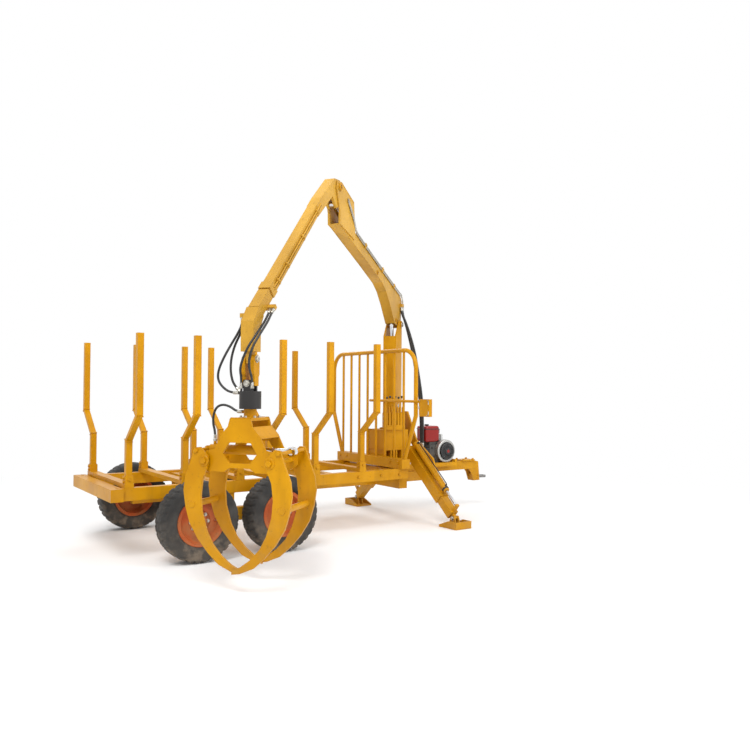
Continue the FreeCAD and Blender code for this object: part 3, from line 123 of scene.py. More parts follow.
# %% [markdown]
# Every new shape starts as a grid of points. A surface joins each point to its
# neighbours, and a tube is a surface made by carrying a ring along a path. The
# last helper turns points and faces into a mesh whose doubled points are
# merged and whose faces all point outwards.

# %% Surfaces and tubes
def surface(points, loop_rows=False, loop_cols=False):
    """A grid of points (rows, columns, 3) as a list of points and an array of quads."""
    rows, cols = points.shape[:2]
    i = np.arange(rows if loop_rows else rows - 1)[:, None]
    j = np.arange(cols if loop_cols else cols - 1)[None, :]
    near, far = i * cols, (i + 1) % rows * cols
    after = (j + 1) % cols
    return points.reshape(-1, 3), np.stack([near + j, near + after, far + after, far + j], axis=-1).reshape(-1, 4)


def tube(path, radius, sides=10, ripple=0.0, closed=False):
    """Round bar: its rings are P + r (cos a S + sin a L), S and L square to the path; ripple swells every other one."""
    path = np.array(path, float)
    if closed:
        ahead = np.roll(path, -1, 0) - np.roll(path, 1, 0)
    else:
        ahead = np.gradient(path, axis=0)
    ahead /= np.linalg.norm(ahead, axis=1)[:, None]
    side = np.cross(ahead, [0.31, 0.52, 0.79])
    side /= np.linalg.norm(side, axis=1)[:, None]
    lift = np.cross(ahead, side)
    a = np.arange(sides) * 2 * np.pi / sides
    swell = radius * (1 + ripple * (np.arange(len(path)) % 2))[:, None, None]
    rings = path[:, None] + swell * (np.cos(a)[:, None] * side[:, None] + np.sin(a)[:, None] * lift[:, None])
    if not closed:
        rings = np.concatenate([np.repeat(path[:1, None], sides, 1), rings, np.repeat(path[-1:, None], sides, 1)])
    return surface(rings, loop_rows=closed, loop_cols=True)


def clean_mesh(name, places, faces):
    """Points and faces as a smooth mesh: doubled points merged, faces turned outwards."""
    mesh = bpy.data.meshes.new(name)
    mesh.from_pydata(places.tolist(), [], faces.tolist())
    work = bmesh.new()
    work.from_mesh(mesh)
    bmesh.ops.remove_doubles(work, verts=work.verts, dist=1e-6)
    bmesh.ops.recalc_face_normals(work, faces=work.faces)
    work.to_mesh(mesh)
    work.free()
    mesh.shade_smooth()
    return mesh


def in_scene(name, data):
    """A new object for a mesh, a lamp or a camera, at the origin."""
    made = bpy.data.objects.new(name, data)
    bpy.context.scene.collection.objects.link(made)
    return made


print("a grid becomes a surface, and a path becomes a tube")

# %% [markdown]
# The crane's oil runs through rubber hydraulic hoses held at both ends. A
# hose's middle line is one NURBS curve whose control points are the turning
# points of its route, so it bends smoothly. A ring is carried along that line
# to make a mesh. Each route also lists a bend: two bodies and the places
# where it starts and ends.

# %% Hoses
HOSES = {}
HOSE_SIDES = 16
CRANE_HOSE, MAIN_HOSE = 0.020, 0.032    # diameters, m


def middle_line(name, points):
    """Points along a clamped NURBS curve of degree two with these control points."""
    curve = bpy.data.curves.new(name + "_line", "CURVE")
    curve.dimensions = "3D"
    curve.resolution_u = 12
    line = curve.splines.new("NURBS")
    line.points.add(len(points) - 1)
    line.points.foreach_set("co", np.concatenate([np.array(points), np.ones((len(points), 1))], axis=1).ravel())
    line.order_u = 3
    line.use_endpoint_u = True
    drawn = bpy.data.meshes.new_from_object(bpy.data.objects.new(name + "_line", curve))
    path = np.empty(3 * len(drawn.vertices))
    drawn.vertices.foreach_get("co", path)
    bpy.data.meshes.remove(drawn)
    bpy.data.curves.remove(curve)
    return path.reshape(-1, 3)


def rubber_hose(name, points, diameter):
    """One hose: a ring swept along its middle line."""
    path = middle_line(name, points)
    hose = in_scene(name + "_rubber", clean_mesh(name + "_rubber", *tube(path, diameter / 2, HOSE_SIDES)))
    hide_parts(name)
    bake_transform(hose)
    HOSES[name] = hose


print("hoses have", HOSE_SIDES, "sides")

# %% [markdown]
# Each route is a list of turning points in millimetres: for the tip's hoses
# ahead of the grapple's axis, across it and up, and for the supply pair ahead
# of the column, to its left and up. Two points in a row along the port's axis
# make a hose leave its fitting straight.

# %% Routes
TIP_BEND = (("extension", "link"), reach(TIP, 0, 2150), reach(TIP, 0, 1700))
MAST_BEND = (("trailer", "column"), spot(MAST, 0, 1350), spot(MAST, 0, 2650))
CLAW_BEND = (("grapple", "claw_left"), reach(TIP, -150, 1436), reach(TIP, -510, 944))
ROUTES = {
    "hose_outer": (TIP_BEND, CRANE_HOSE, 0.814, [reach(TIP + e, n, z) for e, n, z in (
        (5, -78, 2215), (5, -78, 2160), (5, -122, 2080), (5, -190, 1983), (5, -255, 1880), (5, -303, 1780),
        (5, -308, 1700), (5, -262, 1638), (5, -185, 1592), (5, -108, 1592))]),
    "hose_second": (TIP_BEND, CRANE_HOSE, 0.667, [reach(TIP + e, n, z) for e, n, z in (
        (-25, -78, 2215), (-25, -78, 2160), (-25, -112, 2085), (-25, -160, 2000), (-25, -193, 1905),
        (-25, -205, 1812), (-25, -196, 1722), (-25, -164.99, 1649.71), (-25, -110.064, 1603.618))]),
    "hose_inner": (TIP_BEND, CRANE_HOSE, 0.839, [reach(TIP + e, n, z) for e, n, z in (
        (-189.79, 80, 2298.19), (-150.8, 80, 2259.8), (-75, 90, 2190), (15, 98, 2125), (80, 84, 2050), (122, 44, 1965),
        (132, 2, 1868), (118, -32, 1785), (60, -50, 1710), (60, -50, 1630))]),
    "hose_front": (TIP_BEND, CRANE_HOSE, 0.825, [reach(TIP + e, n, z) for e, n, z in (
        (-189.79, 108, 2298.19), (-150.8, 108, 2259.8), (-72, 118, 2185), (22, 126, 2115), (92, 112, 2035),
        (130, 84, 1950), (138, 62, 1860), (116, 54, 1780), (60, 50, 1710), (60, 50, 1630))]),
    "hose_grapple": (CLAW_BEND, CRANE_HOSE, 0.550, [reach(TIP, n, z) for n, z in (
        (-72, 1436), (-125, 1436), (-190, 1478), (-262, 1495), (-322, 1470), (-350, 1405), (-352, 1330),
        (-330, 1262), (-330, 1190))]),
    "hose_supply": (MAST_BEND, MAIN_HOSE, 1.852, [spot(MAST + x, y, z) for x, y, z in (
        (165.2, 20.5, 2700), (165.2, 20.5, 2630), (222, 4, 2462), (308, -14, 2139), (364, -30, 1817),
        (414, -44, 1520), (428, -50, 1200), (432, -52, 960), (432, -52, 880))]),
    "hose_return": (MAST_BEND, MAIN_HOSE, 1.852, [spot(MAST + x, y, z) for x, y, z in (
        (137.3, 1, 2700), (137.3, 1, 2630), (202, -40, 2462), (298, -76, 2139), (356, -92, 1817),
        (404, -102, 1520), (424, -98, 1200), (432, -84, 960), (432, -84, 880))]),
}
for name, ((bodies, start, end), diameter, length, points) in ROUTES.items():
    rubber_hose(name, points, diameter)
print(len(HOSES), "hoses,", round(sum(route[2] for route in ROUTES.values()), 2), "m in all")

# %% [markdown]
# Finishes are made from shader nodes. A small helper adds a node, sets its
# sockets and joins it up in one line, so that each recipe below reads like a
# list of layers. All patterns sit on Object coordinates, in metres.

# %% Shader helpers
def fresh(name):
    """A new node material and its Principled shader."""
    mat = bpy.data.materials.new(name)
    mat.use_nodes = True
    return mat, mat.node_tree, mat.node_tree.nodes["Principled BSDF"]


def add(tree, kind, options=None, **sockets):
    """Add a node; a socket given as another node's output is joined, anything else is its value."""
    made = tree.nodes.new("ShaderNode" + kind)
    for key, value in (options or {}).items():
        setattr(made, key, value)
    for key, value in sockets.items():
        numbered = key[0] == "i" and key[1:].isdigit()
        socket = made.inputs[int(key[1:]) if numbered else key.replace("_", " ")]
        if isinstance(value, bpy.types.NodeSocket):
            tree.links.new(value, socket)
        else:
            socket.default_value = value
    return made


def place_of(tree, stretch=(1.0, 1.0, 1.0)):
    """Object coordinates, stretched along their axes."""
    coord = add(tree, "TexCoord")
    return add(tree, "Mapping", None, Vector=coord.outputs["Object"], Scale=stretch).outputs["Vector"]


def grain(tree, scale, detail=3.0, stretch=(1.0, 1.0, 1.0)):
    """Cloudy noise from 0 to 1, its middle at about one half."""
    return add(tree, "TexNoise", None, Vector=place_of(tree, stretch), Scale=scale, Detail=detail,
               Roughness=0.55).outputs["Fac"]


def between(tree, value, low, high, out_low=0.0, out_high=1.0):
    """Stretch a value's range from low..high to out_low..out_high, clamped."""
    return add(tree, "MapRange", {"interpolation_type": "SMOOTHSTEP"}, Value=value, From_Min=low, From_Max=high,
               To_Min=out_low, To_Max=out_high).outputs["Result"]


def times(tree, first, second):
    """The product of two values."""
    return add(tree, "Math", {"operation": "MULTIPLY"}, i0=first, i1=second).outputs[0]


def layer(tree, factor, under, over):
    """Lay one colour over another by a factor."""
    return add(tree, "Mix", {"data_type": "RGBA"}, i0=factor, i6=under, i7=over).outputs[2]


def rgb(r, g, b):
    """A solid colour."""
    return (r, g, b, 1.0)


def seen_straight(tree):
    """1 where the camera or a mirror-like or clear surface looks straight at it, and otherwise 0."""
    ray = add(tree, "LightPath").outputs
    mirrored = add(tree, "Math", {"operation": "MAXIMUM"}, i0=ray["Is Glossy Ray"], i1=ray["Is Transmission Ray"])
    return add(tree, "Math", {"operation": "MAXIMUM"}, i0=ray["Is Camera Ray"], i1=mirrored.outputs[0]).outputs[0]


def soft_edges(tree, radius):
    """Surface direction with corners rounded over a radius, and how near a corner a place is."""
    rounded = add(tree, "Bevel", {"samples": 4}, Radius=radius).outputs["Normal"]
    flat = add(tree, "NewGeometry").outputs["Normal"]
    agree = add(tree, "VectorMath", {"operation": "DOT_PRODUCT"}, i0=rounded, i1=flat).outputs["Value"]
    return rounded, between(tree, agree, 0.995, 0.86)


print("shader helpers ready")

# %% [markdown]
# The studio: a wide pale floor that keeps the object's shadow, and three soft
# area lamps. The world lights the steel from all round at two thirds of full
# strength, but where the camera or a mirror-like surface looks straight at it, Light Path
# turns it to full white. The floor does the same from a few metres away, so
# the object stands on paper and only its own shadow shows.

# %% Studio
FLOOR_HALF, FLOOR_DROP = 30.0, 0.002    # m
PAPER_NEAR, PAPER_FAR = 3.4, 8.0    # the floor turns to plain white between these
WORLD_LEVEL = 0.66


def studio_floor():
    """Flat square just under the wheels, whose paper turns to plain white away from the middle."""
    mesh = bpy.data.meshes.new("Floor")
    corners = [(x * FLOOR_HALF, y * FLOOR_HALF, -FLOOR_DROP) for x, y in ((-1, -1), (1, -1), (1, 1), (-1, 1))]
    mesh.from_pydata(corners, [], [(0, 1, 2, 3)])
    mat, tree, shader = fresh("floor_paper")
    shader.inputs["Base Color"].default_value = rgb(0.93, 0.93, 0.93)
    shader.inputs["Roughness"].default_value = 0.9
    shader.inputs["Specular IOR Level"].default_value = 0.0
    away = add(tree, "VectorMath", {"operation": "LENGTH"}, i0=add(tree, "TexCoord").outputs["Object"])
    share = times(tree, seen_straight(tree), between(tree, away.outputs["Value"], PAPER_NEAR, PAPER_FAR))
    paper = add(tree, "Emission", None, Color=rgb(1.0, 1.0, 1.0))
    mixed = add(tree, "MixShader", None, i0=share, i1=shader.outputs[0], i2=paper.outputs[0])
    tree.links.new(mixed.outputs[0], tree.nodes["Material Output"].inputs["Surface"])
    mesh.materials.append(mat)
    in_scene("Floor", mesh)


def area_lamp(name, place, target, size, watts):
    """Square soft lamp that faces a target."""
    light = bpy.data.lights.new(name, "AREA")
    light.size, light.energy = size, watts
    lamp = in_scene(name, light)
    lamp.location = place
    lamp.rotation_mode = "QUATERNION"
    lamp.rotation_quaternion = (Vector(target) - Vector(place)).to_track_quat("-Z", "Y")


studio_floor()
centre = (Vector(cad_box[0]) + Vector(cad_box[1])) / 2
area_lamp("Key", centre + Vector((-7, -6, 9)), centre, 6.0, 1000)
area_lamp("Fill", centre + Vector((4, -9, 5)), centre, 7.0, 520)
area_lamp("Back", centre + Vector((2, 9, 7)), centre, 6.0, 380)
world = bpy.data.worlds.new("Studio")
bpy.context.scene.world = world
world.use_nodes = True
sky = world.node_tree
level = add(sky, "MapRange", None, Value=seen_straight(sky), To_Min=WORLD_LEVEL, To_Max=1.0)
sky.nodes["Background"].inputs["Color"].default_value = rgb(1.0, 1.0, 1.0)
sky.links.new(level.outputs["Result"], sky.nodes["Background"].inputs["Strength"])
bpy.context.scene.view_settings.view_transform = "Standard"
print("studio with", len(bpy.data.lights), "lamps")

# %% [markdown]
# Machine paint is a thick yellow enamel on steel. Its colour drifts a little
# from plate to plate, it darkens in streaks under joints, and it is rubbed
# through to brown primer along the corners. Dust gathers towards the wheels.
# The Bevel node finds the corners, which also rounds them in the light.

# %% Machine paint
DUST = rgb(0.30, 0.19, 0.08)


def enamel(name, bright, deep, worn, gloss=0.34, wear=0.38, dirty=0.5, shine=0.16):
    """Enamel: two tones of one colour, streaks, chipped corners, and dust that thins with height."""
    mat, tree, shader = fresh(name)
    normal, corner = soft_edges(tree, 0.004)
    colour = layer(tree, between(tree, grain(tree, 1.7, 4.0), 0.35, 0.68), rgb(*deep), rgb(*bright))
    streak = between(tree, grain(tree, 5.0, 5.0, (1.0, 1.0, 0.16)), 0.53, 0.74, 0.0, 0.55 * dirty)
    colour = layer(tree, streak, colour, rgb(*[c * 0.42 for c in deep]))
    spot_dirt = between(tree, grain(tree, 34.0, 6.0), 0.61, 0.72, 0.0, 0.6 * dirty)
    colour = layer(tree, spot_dirt, colour, rgb(*[c * 0.5 for c in worn]))
    chips = times(tree, corner, between(tree, grain(tree, 24.0, 5.0), 0.50, 0.60, 0.0, wear))
    colour = layer(tree, chips, colour, rgb(*worn))
    height = add(tree, "SeparateXYZ", None, Vector=place_of(tree)).outputs["Z"]
    settled = between(tree, grain(tree, 7.0, 5.0), 0.35, 0.75, 0.05, 0.75 * dirty)
    dusty = times(tree, between(tree, height, 1.0, 0.05), settled)
    colour = layer(tree, dusty, colour, DUST)
    tree.links.new(colour, shader.inputs["Base Color"])
    dull = add(tree, "Math", {"operation": "MULTIPLY_ADD"}, i0=grain(tree, 9.0, 4.0), i1=0.26, i2=gloss - 0.1)
    dull = add(tree, "Math", {"operation": "MAXIMUM"}, i0=dull.outputs[0], i1=times(tree, dusty, 0.95))
    tree.links.new(dull.outputs[0], shader.inputs["Roughness"])
    relief = add(tree, "Bump", None, Strength=0.10, Distance=0.002, Height=grain(tree, 120.0, 2.0), Normal=normal)
    tree.links.new(relief.outputs["Normal"], shader.inputs["Normal"])
    shader.inputs["Specular IOR Level"].default_value = shine
    return mat


YELLOW = enamel("yellow_enamel", (0.62, 0.29, 0.0015), (0.50, 0.22, 0.001), (0.16, 0.07, 0.03))
PALE_YELLOW = enamel("boom_enamel", (0.66, 0.37, 0.045), (0.49, 0.26, 0.027), (0.22, 0.12, 0.06), dirty=0.65,
                     shine=0.22)
RIM_RED = enamel("rim_enamel", (0.50, 0.10, 0.022), (0.36, 0.06, 0.016), (0.10, 0.05, 0.035), gloss=0.42, dirty=0.8)
TANK_RED = enamel("tank_enamel", (0.31, 0.012, 0.008), (0.25, 0.009, 0.007), (0.16, 0.05, 0.04), gloss=0.16,
                  wear=0.2, dirty=0.2, shine=0.4)
BLACK_PAINT = enamel("black_enamel", (0.022, 0.020, 0.019), (0.013, 0.012, 0.012), (0.13, 0.11, 0.10), gloss=0.42,
                     dirty=0.35, shine=0.4)
ENGINE_GREY = enamel("engine_casting", (0.115, 0.112, 0.105), (0.07, 0.068, 0.064), (0.30, 0.29, 0.27), gloss=0.5,
                     dirty=0.6)
print("six enamels")

# %% [markdown]
# Tyres are matt black rubber that has greyed, with dust in the tread and on
# the side walls. Hose rubber is darker and a little shinier, with a finer
# grit. Moulded plastic sits between the two.

# %% Rubber and plastic
def rubber(name, dark, grey, roughness, grit, dust_up=0.0):
    """Black rubber: cloudy greying, a fine grit relief, and dust that may thin with height."""
    mat, tree, shader = fresh(name)
    colour = layer(tree, between(tree, grain(tree, 6.0, 6.0), 0.38, 0.70), rgb(*dark), rgb(*grey))
    if dust_up:
        height = add(tree, "SeparateXYZ", None, Vector=place_of(tree)).outputs["Z"]
        settled = between(tree, grain(tree, 11.0, 6.0), 0.42, 0.68, 0.1, 0.8)
        low = times(tree, between(tree, height, dust_up, 0.0), settled)
        colour = layer(tree, low, colour, rgb(0.20, 0.155, 0.11))
    tree.links.new(colour, shader.inputs["Base Color"])
    shader.inputs["Roughness"].default_value = roughness
    relief = add(tree, "Bump", None, Strength=0.25, Distance=0.0012, Height=grain(tree, grit, 4.0))
    tree.links.new(relief.outputs["Normal"], shader.inputs["Normal"])
    return mat


TYRE = rubber("tyre_rubber", (0.017, 0.016, 0.015), (0.045, 0.042, 0.038), 0.78, 160.0, 0.5)
HOSE = rubber("hose_rubber", (0.012, 0.012, 0.012), (0.032, 0.031, 0.030), 0.48, 420.0)
PLASTIC = rubber("black_plastic", (0.014, 0.014, 0.014), (0.028, 0.028, 0.028), 0.4, 700.0)
for hose in HOSES.values():
    hose.data.materials.append(HOSE)
print("rubber on", len(HOSES), "hoses")

# %% [markdown]
# Piston rods are hard chrome: nearly a mirror, a little cloudy from the oil.
# Bolts, pins and hose ends are zinc plated and slightly yellow-grey.

# %% Bare metals
def metal(name, light, shade, roughness, scale, relief_by=0.1):
    """Bare metal: two tones in clouds, and a fine relief."""
    mat, tree, shader = fresh(name)
    shader.inputs["Metallic"].default_value = 1.0
    clouds = grain(tree, scale, 4.0)
    colour = layer(tree, between(tree, clouds, 0.35, 0.68), rgb(*shade), rgb(*light))
    tree.links.new(colour, shader.inputs["Base Color"])
    tree.links.new(between(tree, grain(tree, scale * 1.7, 3.0), 0.3, 0.7, roughness * 0.75, roughness * 1.35),
                   shader.inputs["Roughness"])
    relief = add(tree, "Bump", None, Strength=relief_by, Distance=0.0008, Height=clouds)
    tree.links.new(relief.outputs["Normal"], shader.inputs["Normal"])
    return mat


CHROME = metal("hard_chrome", (0.82, 0.83, 0.85), (0.62, 0.63, 0.65), 0.13, 14.0, relief_by=0.03)
ZINC = metal("zinc_plate", (0.62, 0.60, 0.54), (0.38, 0.36, 0.31), 0.36, 70.0)
STEEL = metal("dull_steel", (0.34, 0.33, 0.32), (0.17, 0.165, 0.16), 0.45, 40.0)
ALLOY = metal("cast_alloy", (0.55, 0.54, 0.51), (0.36, 0.355, 0.34), 0.5, 90.0, relief_by=0.3)
print("four bare metals")

# %% [markdown]
# Every part from the drawings gets its finish by name. A rod is chrome, a
# tyre is rubber, and what isn't named below is yellow enamel.

# %% Paint the CAD parts
FINISH = {"tyre_": TYRE, "rim_": RIM_RED, "hose_": HOSE, "towing_eye": STEEL, "rotator": BLACK_PAINT,
          "lift_rod": CHROME, "jib_rod": CHROME, "grip_rod": CHROME, "leg_rod_": CHROME,
          "boom": PALE_YELLOW, "jib": PALE_YELLOW, "extension": PALE_YELLOW, "fuel_tank": TANK_RED,
          "engine_block": ENGINE_GREY, "engine_fan": PLASTIC, "hydraulic_pump": BLACK_PAINT}


def finish_for(name):
    """The finish whose key is the longest that the part's name starts with."""
    keys = [key for key in FINISH if name.startswith(key)]
    return FINISH[max(keys, key=len)] if keys else YELLOW


painted = 0
for item in [o for o in bpy.data.objects if o.type == "MESH" and o.name in nodes]:
    item.data.materials.clear()
    item.data.materials.append(finish_for(item.name))
    painted += 1
print(painted, "CAD parts painted")

# %% [markdown]
# The fittings that follow are small surfaces worked out as whole arrays. With
# the tube from above, two more makers cover nearly everything: a lathe for
# round things and a rounded block. All work in millimetres, and the last
# steps carry a shape onto the trailer, the crane or the crane's tip, in
# metres, and make an object of it.

# %% Surface makers
def lathe(profile, segments=32):
    """Turned part about Z: a profile point (r, z) goes to (r cos a, r sin a, z) at equal angles a."""
    r, z = np.array(profile, float).T[:, :, None]
    a = np.arange(segments) * 2 * np.pi / segments
    return surface(np.stack([r * np.cos(a), r * np.sin(a), z + 0 * a], axis=-1), loop_cols=True)


def signed_power(x, power):
    """The sign of x times its size raised to a power, which squares a circle up."""
    return np.sign(x) * np.abs(x) ** power


def rounded_block(size, middle=(0, 0, 0), square=0.25, rows=24, cols=40):
    """Superellipsoid: cosines and sines of two angles, raised to a small power and scaled by half sizes."""
    v = np.linspace(-np.pi / 2, np.pi / 2, rows)[:, None]
    u = np.arange(cols)[None, :] * 2 * np.pi / cols
    shape = np.stack([signed_power(np.cos(v), square) * signed_power(np.cos(u), square),
                      signed_power(np.cos(v), square) * signed_power(np.sin(u), square),
                      signed_power(np.sin(v), square) + 0 * u], axis=-1)
    return surface(shape * np.array(size) / 2 + np.array(middle), loop_cols=True)


def square_axes(axis):
    """Three unit directions at right angles: across, across again, and along the axis."""
    w = np.array(axis, float) / np.linalg.norm(axis)
    side = np.array([0.0, 0.0, 1.0]) if abs(w[2]) < 0.9 else np.array([1.0, 0.0, 0.0])
    u = np.cross(side, w) / np.linalg.norm(np.cross(side, w))
    return u, np.cross(w, u), w


def aim(shape, place, axis):
    """Stand a shape at a place with its own Z along an axis."""
    points, faces = shape
    return points @ np.array(square_axes(axis)) + np.array(place, float), faces


def bend(corners, radius):
    """Path whose inner corners are turned into quadratic curves: (1-t)^2 A + 2t(1-t) B + t^2 C."""
    pts = np.array(corners, float)
    t = np.linspace(0, 1, 6)[:, None]
    path = [pts[:1]]
    for before, corner, after in zip(pts, pts[1:], pts[2:]):
        back, on = before - corner, after - corner
        a = corner + back * min(radius / np.linalg.norm(back), 0.49)
        c = corner + on * min(radius / np.linalg.norm(on), 0.49)
        path.append((1 - t) ** 2 * a + 2 * t * (1 - t) * corner + t ** 2 * c)
    return np.concatenate(path + [pts[-1:]])


def on_trailer(shapes):
    """X forward, Y to the left, Z up, from the trailer's zero."""
    return [(zero + points / 1000, faces) for points, faces in shapes]


def on_crane(shapes):
    """X along the boom, Y across it, Z up, from the slewing axis."""
    return [(mast_foot + points @ np.array([ALONG, ACROSS, UP]) / 1000, faces) for points, faces in shapes]


def on_tip(shapes):
    """As on the crane, but from the axis that the grapple hangs on."""
    return on_crane([(points + [TIP, 0.0, 0.0], faces) for points, faces in shapes])


FITTED = {}


def piece(name, shapes, body, material, stands_for=(), sharp=35.0):
    """One object of several surfaces that rides on a body; edges sharper than an angle in degrees stay hard."""
    counts = np.cumsum([0] + [len(points) for points, _ in shapes])
    points = np.concatenate([p for p, _ in shapes])
    faces = np.concatenate([f + first for (_, f), first in zip(shapes, counts)])
    mesh = clean_mesh(name, points, faces)
    mesh.set_sharp_from_angle(angle=math.radians(sharp))
    mesh.materials.append(material)
    made = in_scene(name, mesh)
    if stands_for:
        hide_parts(*stands_for)
    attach(made, body)
    FITTED[name] = len(mesh.polygons)


print("makers ready")

# %% [markdown]
# A flotation tyre has a rounded square section, blocky shoulders and a broad
# middle rib. The section is a superellipse in the angle t, narrowed towards
# the bead. Round the wheel, the tread is cut by grooves: two that go right
# round, and slanting ones that part the shoulder blocks.

# %% Tyres
def tyre_surface(columns=300):
    """Section: half width 132 cos(t)^0.42 and radius 298 + 81.5 sin(t)^0.62; grooves take 11 mm off the crown."""
    t = np.concatenate([np.linspace(0.02, np.pi - 0.02, 50), np.linspace(np.pi + 0.12, 2 * np.pi - 0.12, 14)])
    t = t[:, None]
    a = np.arange(columns)[None, :] * 2 * np.pi / columns
    low = np.maximum(0, -np.sin(t))
    y = 132 * signed_power(np.cos(t), 0.42) * (1 - 0.33 * low ** 2) + 0 * a
    r = 298 + 81.5 * signed_power(np.sin(t), 0.62) + 0 * a
    crown = np.clip((r - 352) / 10, 0, 1)
    turn = a * 30 / (2 * np.pi) + np.where(y > 0, 0.5, 0.0)
    ring_cut = np.clip(1.6 - np.abs(np.abs(y) - 40 - 4 * np.sin(a * 30)) / 5, 0, 1)
    slant = (turn + np.abs(y) * 0.0042) % 1.0
    side_cut = np.where(np.abs(y) > 40, np.clip(3.2 - np.abs(slant - 0.5) * 18, 0, 1), 0)
    rib_nick = np.where(np.abs(y) < 12, np.clip(1.6 - np.abs((turn * 2) % 1.0 - 0.5) * 16, 0, 1) * 0.5, 0)
    r = r - 11 * crown * np.clip(np.maximum(np.maximum(ring_cut, side_cut), rib_nick), 0, 1)
    wall = np.exp(-((r - 262) / 4) ** 2) + 0.8 * np.exp(-((r - 334) / 3) ** 2)
    y = y + np.sign(y) * 1.6 * wall * (low < 0.9)
    y = np.clip(y, -132, 132)
    return surface(np.stack([r * np.cos(a), r * np.sin(a), y], axis=-1), loop_rows=True, loop_cols=True)


WHEELS = {"rear_left": (541, 1), "rear_right": (541, -1), "front_left": (1412, 1), "front_right": (1412, -1)}
TRACK, HUB_HIGH = 1010, 380    # a wheel's middle, out from the centre line and above the ground
for label, (at, side) in WHEELS.items():
    tread = aim(tyre_surface(), (at, side * TRACK, HUB_HIGH), (0, side, 0))
    piece("tread_" + label, on_trailer([tread]), "wheel_" + label, TYRE, ["tyre_" + label], sharp=50.0)
print("tyre faces", FITTED["tread_rear_left"])

# %% [markdown]
# Bolts are repeated most, so a head is only a few dozen faces: a washer, and
# a lathe of six segments whose rim is chamfered. A ring of them is one piece.
# A hydraulic nut is the same six segments, and a pin ends in a round head.

# %% Bolts and pin ends
def bolt(place, axis, flats=30, high=None, washer=True):
    """Hexagon head on a washer: the head is a lathe of six segments, its radius the flats over the root of three."""
    high = high or flats * 0.62
    r = flats / math.sqrt(3)
    head = lathe([(0, 3), (r, 3), (r, high * 0.82 + 3), (r * 0.84, high + 3), (0, high + 3)], 6)
    made = [aim(head, place, axis)]
    if washer:
        made.append(aim(lathe([(0, 0), (r * 1.25, 0), (r * 1.25, 3), (0, 3)], 16), place, axis))
    return made


def nut(radius, high):
    """Hexagon nut with its rim cut back 3 mm."""
    return lathe([(0, 0), (radius, 0), (radius, high - 3), (radius - 3, high), (0, high)], 6)


def bolt_ring(middle, axis, radius, angles, flats=24):
    """Bolts on a circle; the angles are in degrees round the axis."""
    rows = []
    u, v, _ = square_axes(axis)
    for angle in np.radians(angles):
        rows += bolt(np.array(middle, float) + radius * (math.cos(angle) * u + math.sin(angle) * v), axis, flats)
    return rows


def pin_end(place, axis, radius, thick=9):
    """Round pin head with a rolled edge, and a grease nipple's stub in its middle."""
    head = lathe([(0, 0), (radius, 0), (radius + 2, 1.5), (radius + 2, thick - 3), (radius - 1.5, thick),
                  (0, thick)], 28)
    nub = lathe([(0, thick), (radius * 0.3, thick), (radius * 0.26, thick + 3), (0, thick + 4)], 12)
    return [aim(head, place, axis), aim(nub, place, axis)]


print("a bolt head has", len(bolt((0, 0, 0), (0, 0, 1))[0][1]), "faces")

# %% [markdown]
# The crane turns on round pins: boom on column, jib on boom, and a smaller one
# at each end of a cylinder. Each claw hangs on its own pin, with a second one
# for the grip cylinder and a spreader bar lower down. The feet have ankles.

# %% Pins
SIDES = ((1, "left"), (-1, "right"))
CLAWS = ((1, "claw_right", 224), (-1, "claw_left", 186))    # side, body, and how far out its plates are
CLAW_PIN, GRIP_PIN, CLAW_BAR = (308, 1041), (386, 1121), (419, 679)    # across and up
ANKLE = (3721, 1030, 110)
crane_pins = {body: [] for body in ("column", "boom", "extension", "link", "claw_right", "claw_left")}
for side in (-1, 1):
    for body, x, out, z, radius, thick in (("column", -75, 100, 2470, 30, 9), ("column", 35, 85, 1420, 22, 9),
                                           ("boom", 50, 60, 2520, 27, 9), ("boom", 760, 60, 3025, 24, 9),
                                           ("boom", 1965, 80, 3735, 36, 11)):
        crane_pins[body] += pin_end((x, side * out, z), (0, side, 0), radius, thick)
    crane_pins["extension"] += bolt((TIP, side * 58, 1870), (0, side, 0), 44, 16)
    crane_pins["link"] += bolt((TIP + side * 62, 0, 1669), (side, 0, 0), 40, 14)
for side, label, off in CLAWS:
    for end in (-1, 1):
        boss = lathe([(0, 0), (46, 0), (46, 4), (41, 9), (0, 9)], 32)
        bar_end = lathe([(0, 0), (31, 0), (27, 5), (0, 5)], 24)
        face = TIP + end * (off + 12)
        pin, grip, bar = ((side * y, z) for y, z in (CLAW_PIN, GRIP_PIN, CLAW_BAR))
        crane_pins[label] += [aim(boss, (face, *pin), (end, 0, 0))]
        crane_pins[label] += bolt((face + end * 8, *pin), (end, 0, 0), 46, 16, washer=False)
        crane_pins[label] += bolt((face, *grip), (end, 0, 0), 34, 12)
        crane_pins[label] += [aim(bar_end, (face, *bar), (end, 0, 0))]
for body, shapes in crane_pins.items():
    painted_over = body in ("claw_right", "claw_left", "boom")
    piece("pins_" + body, on_crane(shapes), body, YELLOW if painted_over else ZINC)
for side, label in SIDES:
    x, y, z = ANKLE
    shapes = [s for end in (-1, 1) for s in bolt((x + end * 38, side * y, z), (end, 0, 0), 36, 13)]
    piece("ankle_pin_" + label, on_trailer(shapes), "leg_" + label, ZINC)

# %% [markdown]
# The frame is bolted where it would be taken apart: the slewing housing to
# its deck, the column to the housing, every stake to its socket, the drawbar
# head, the engine bed, and the grapple's neck.

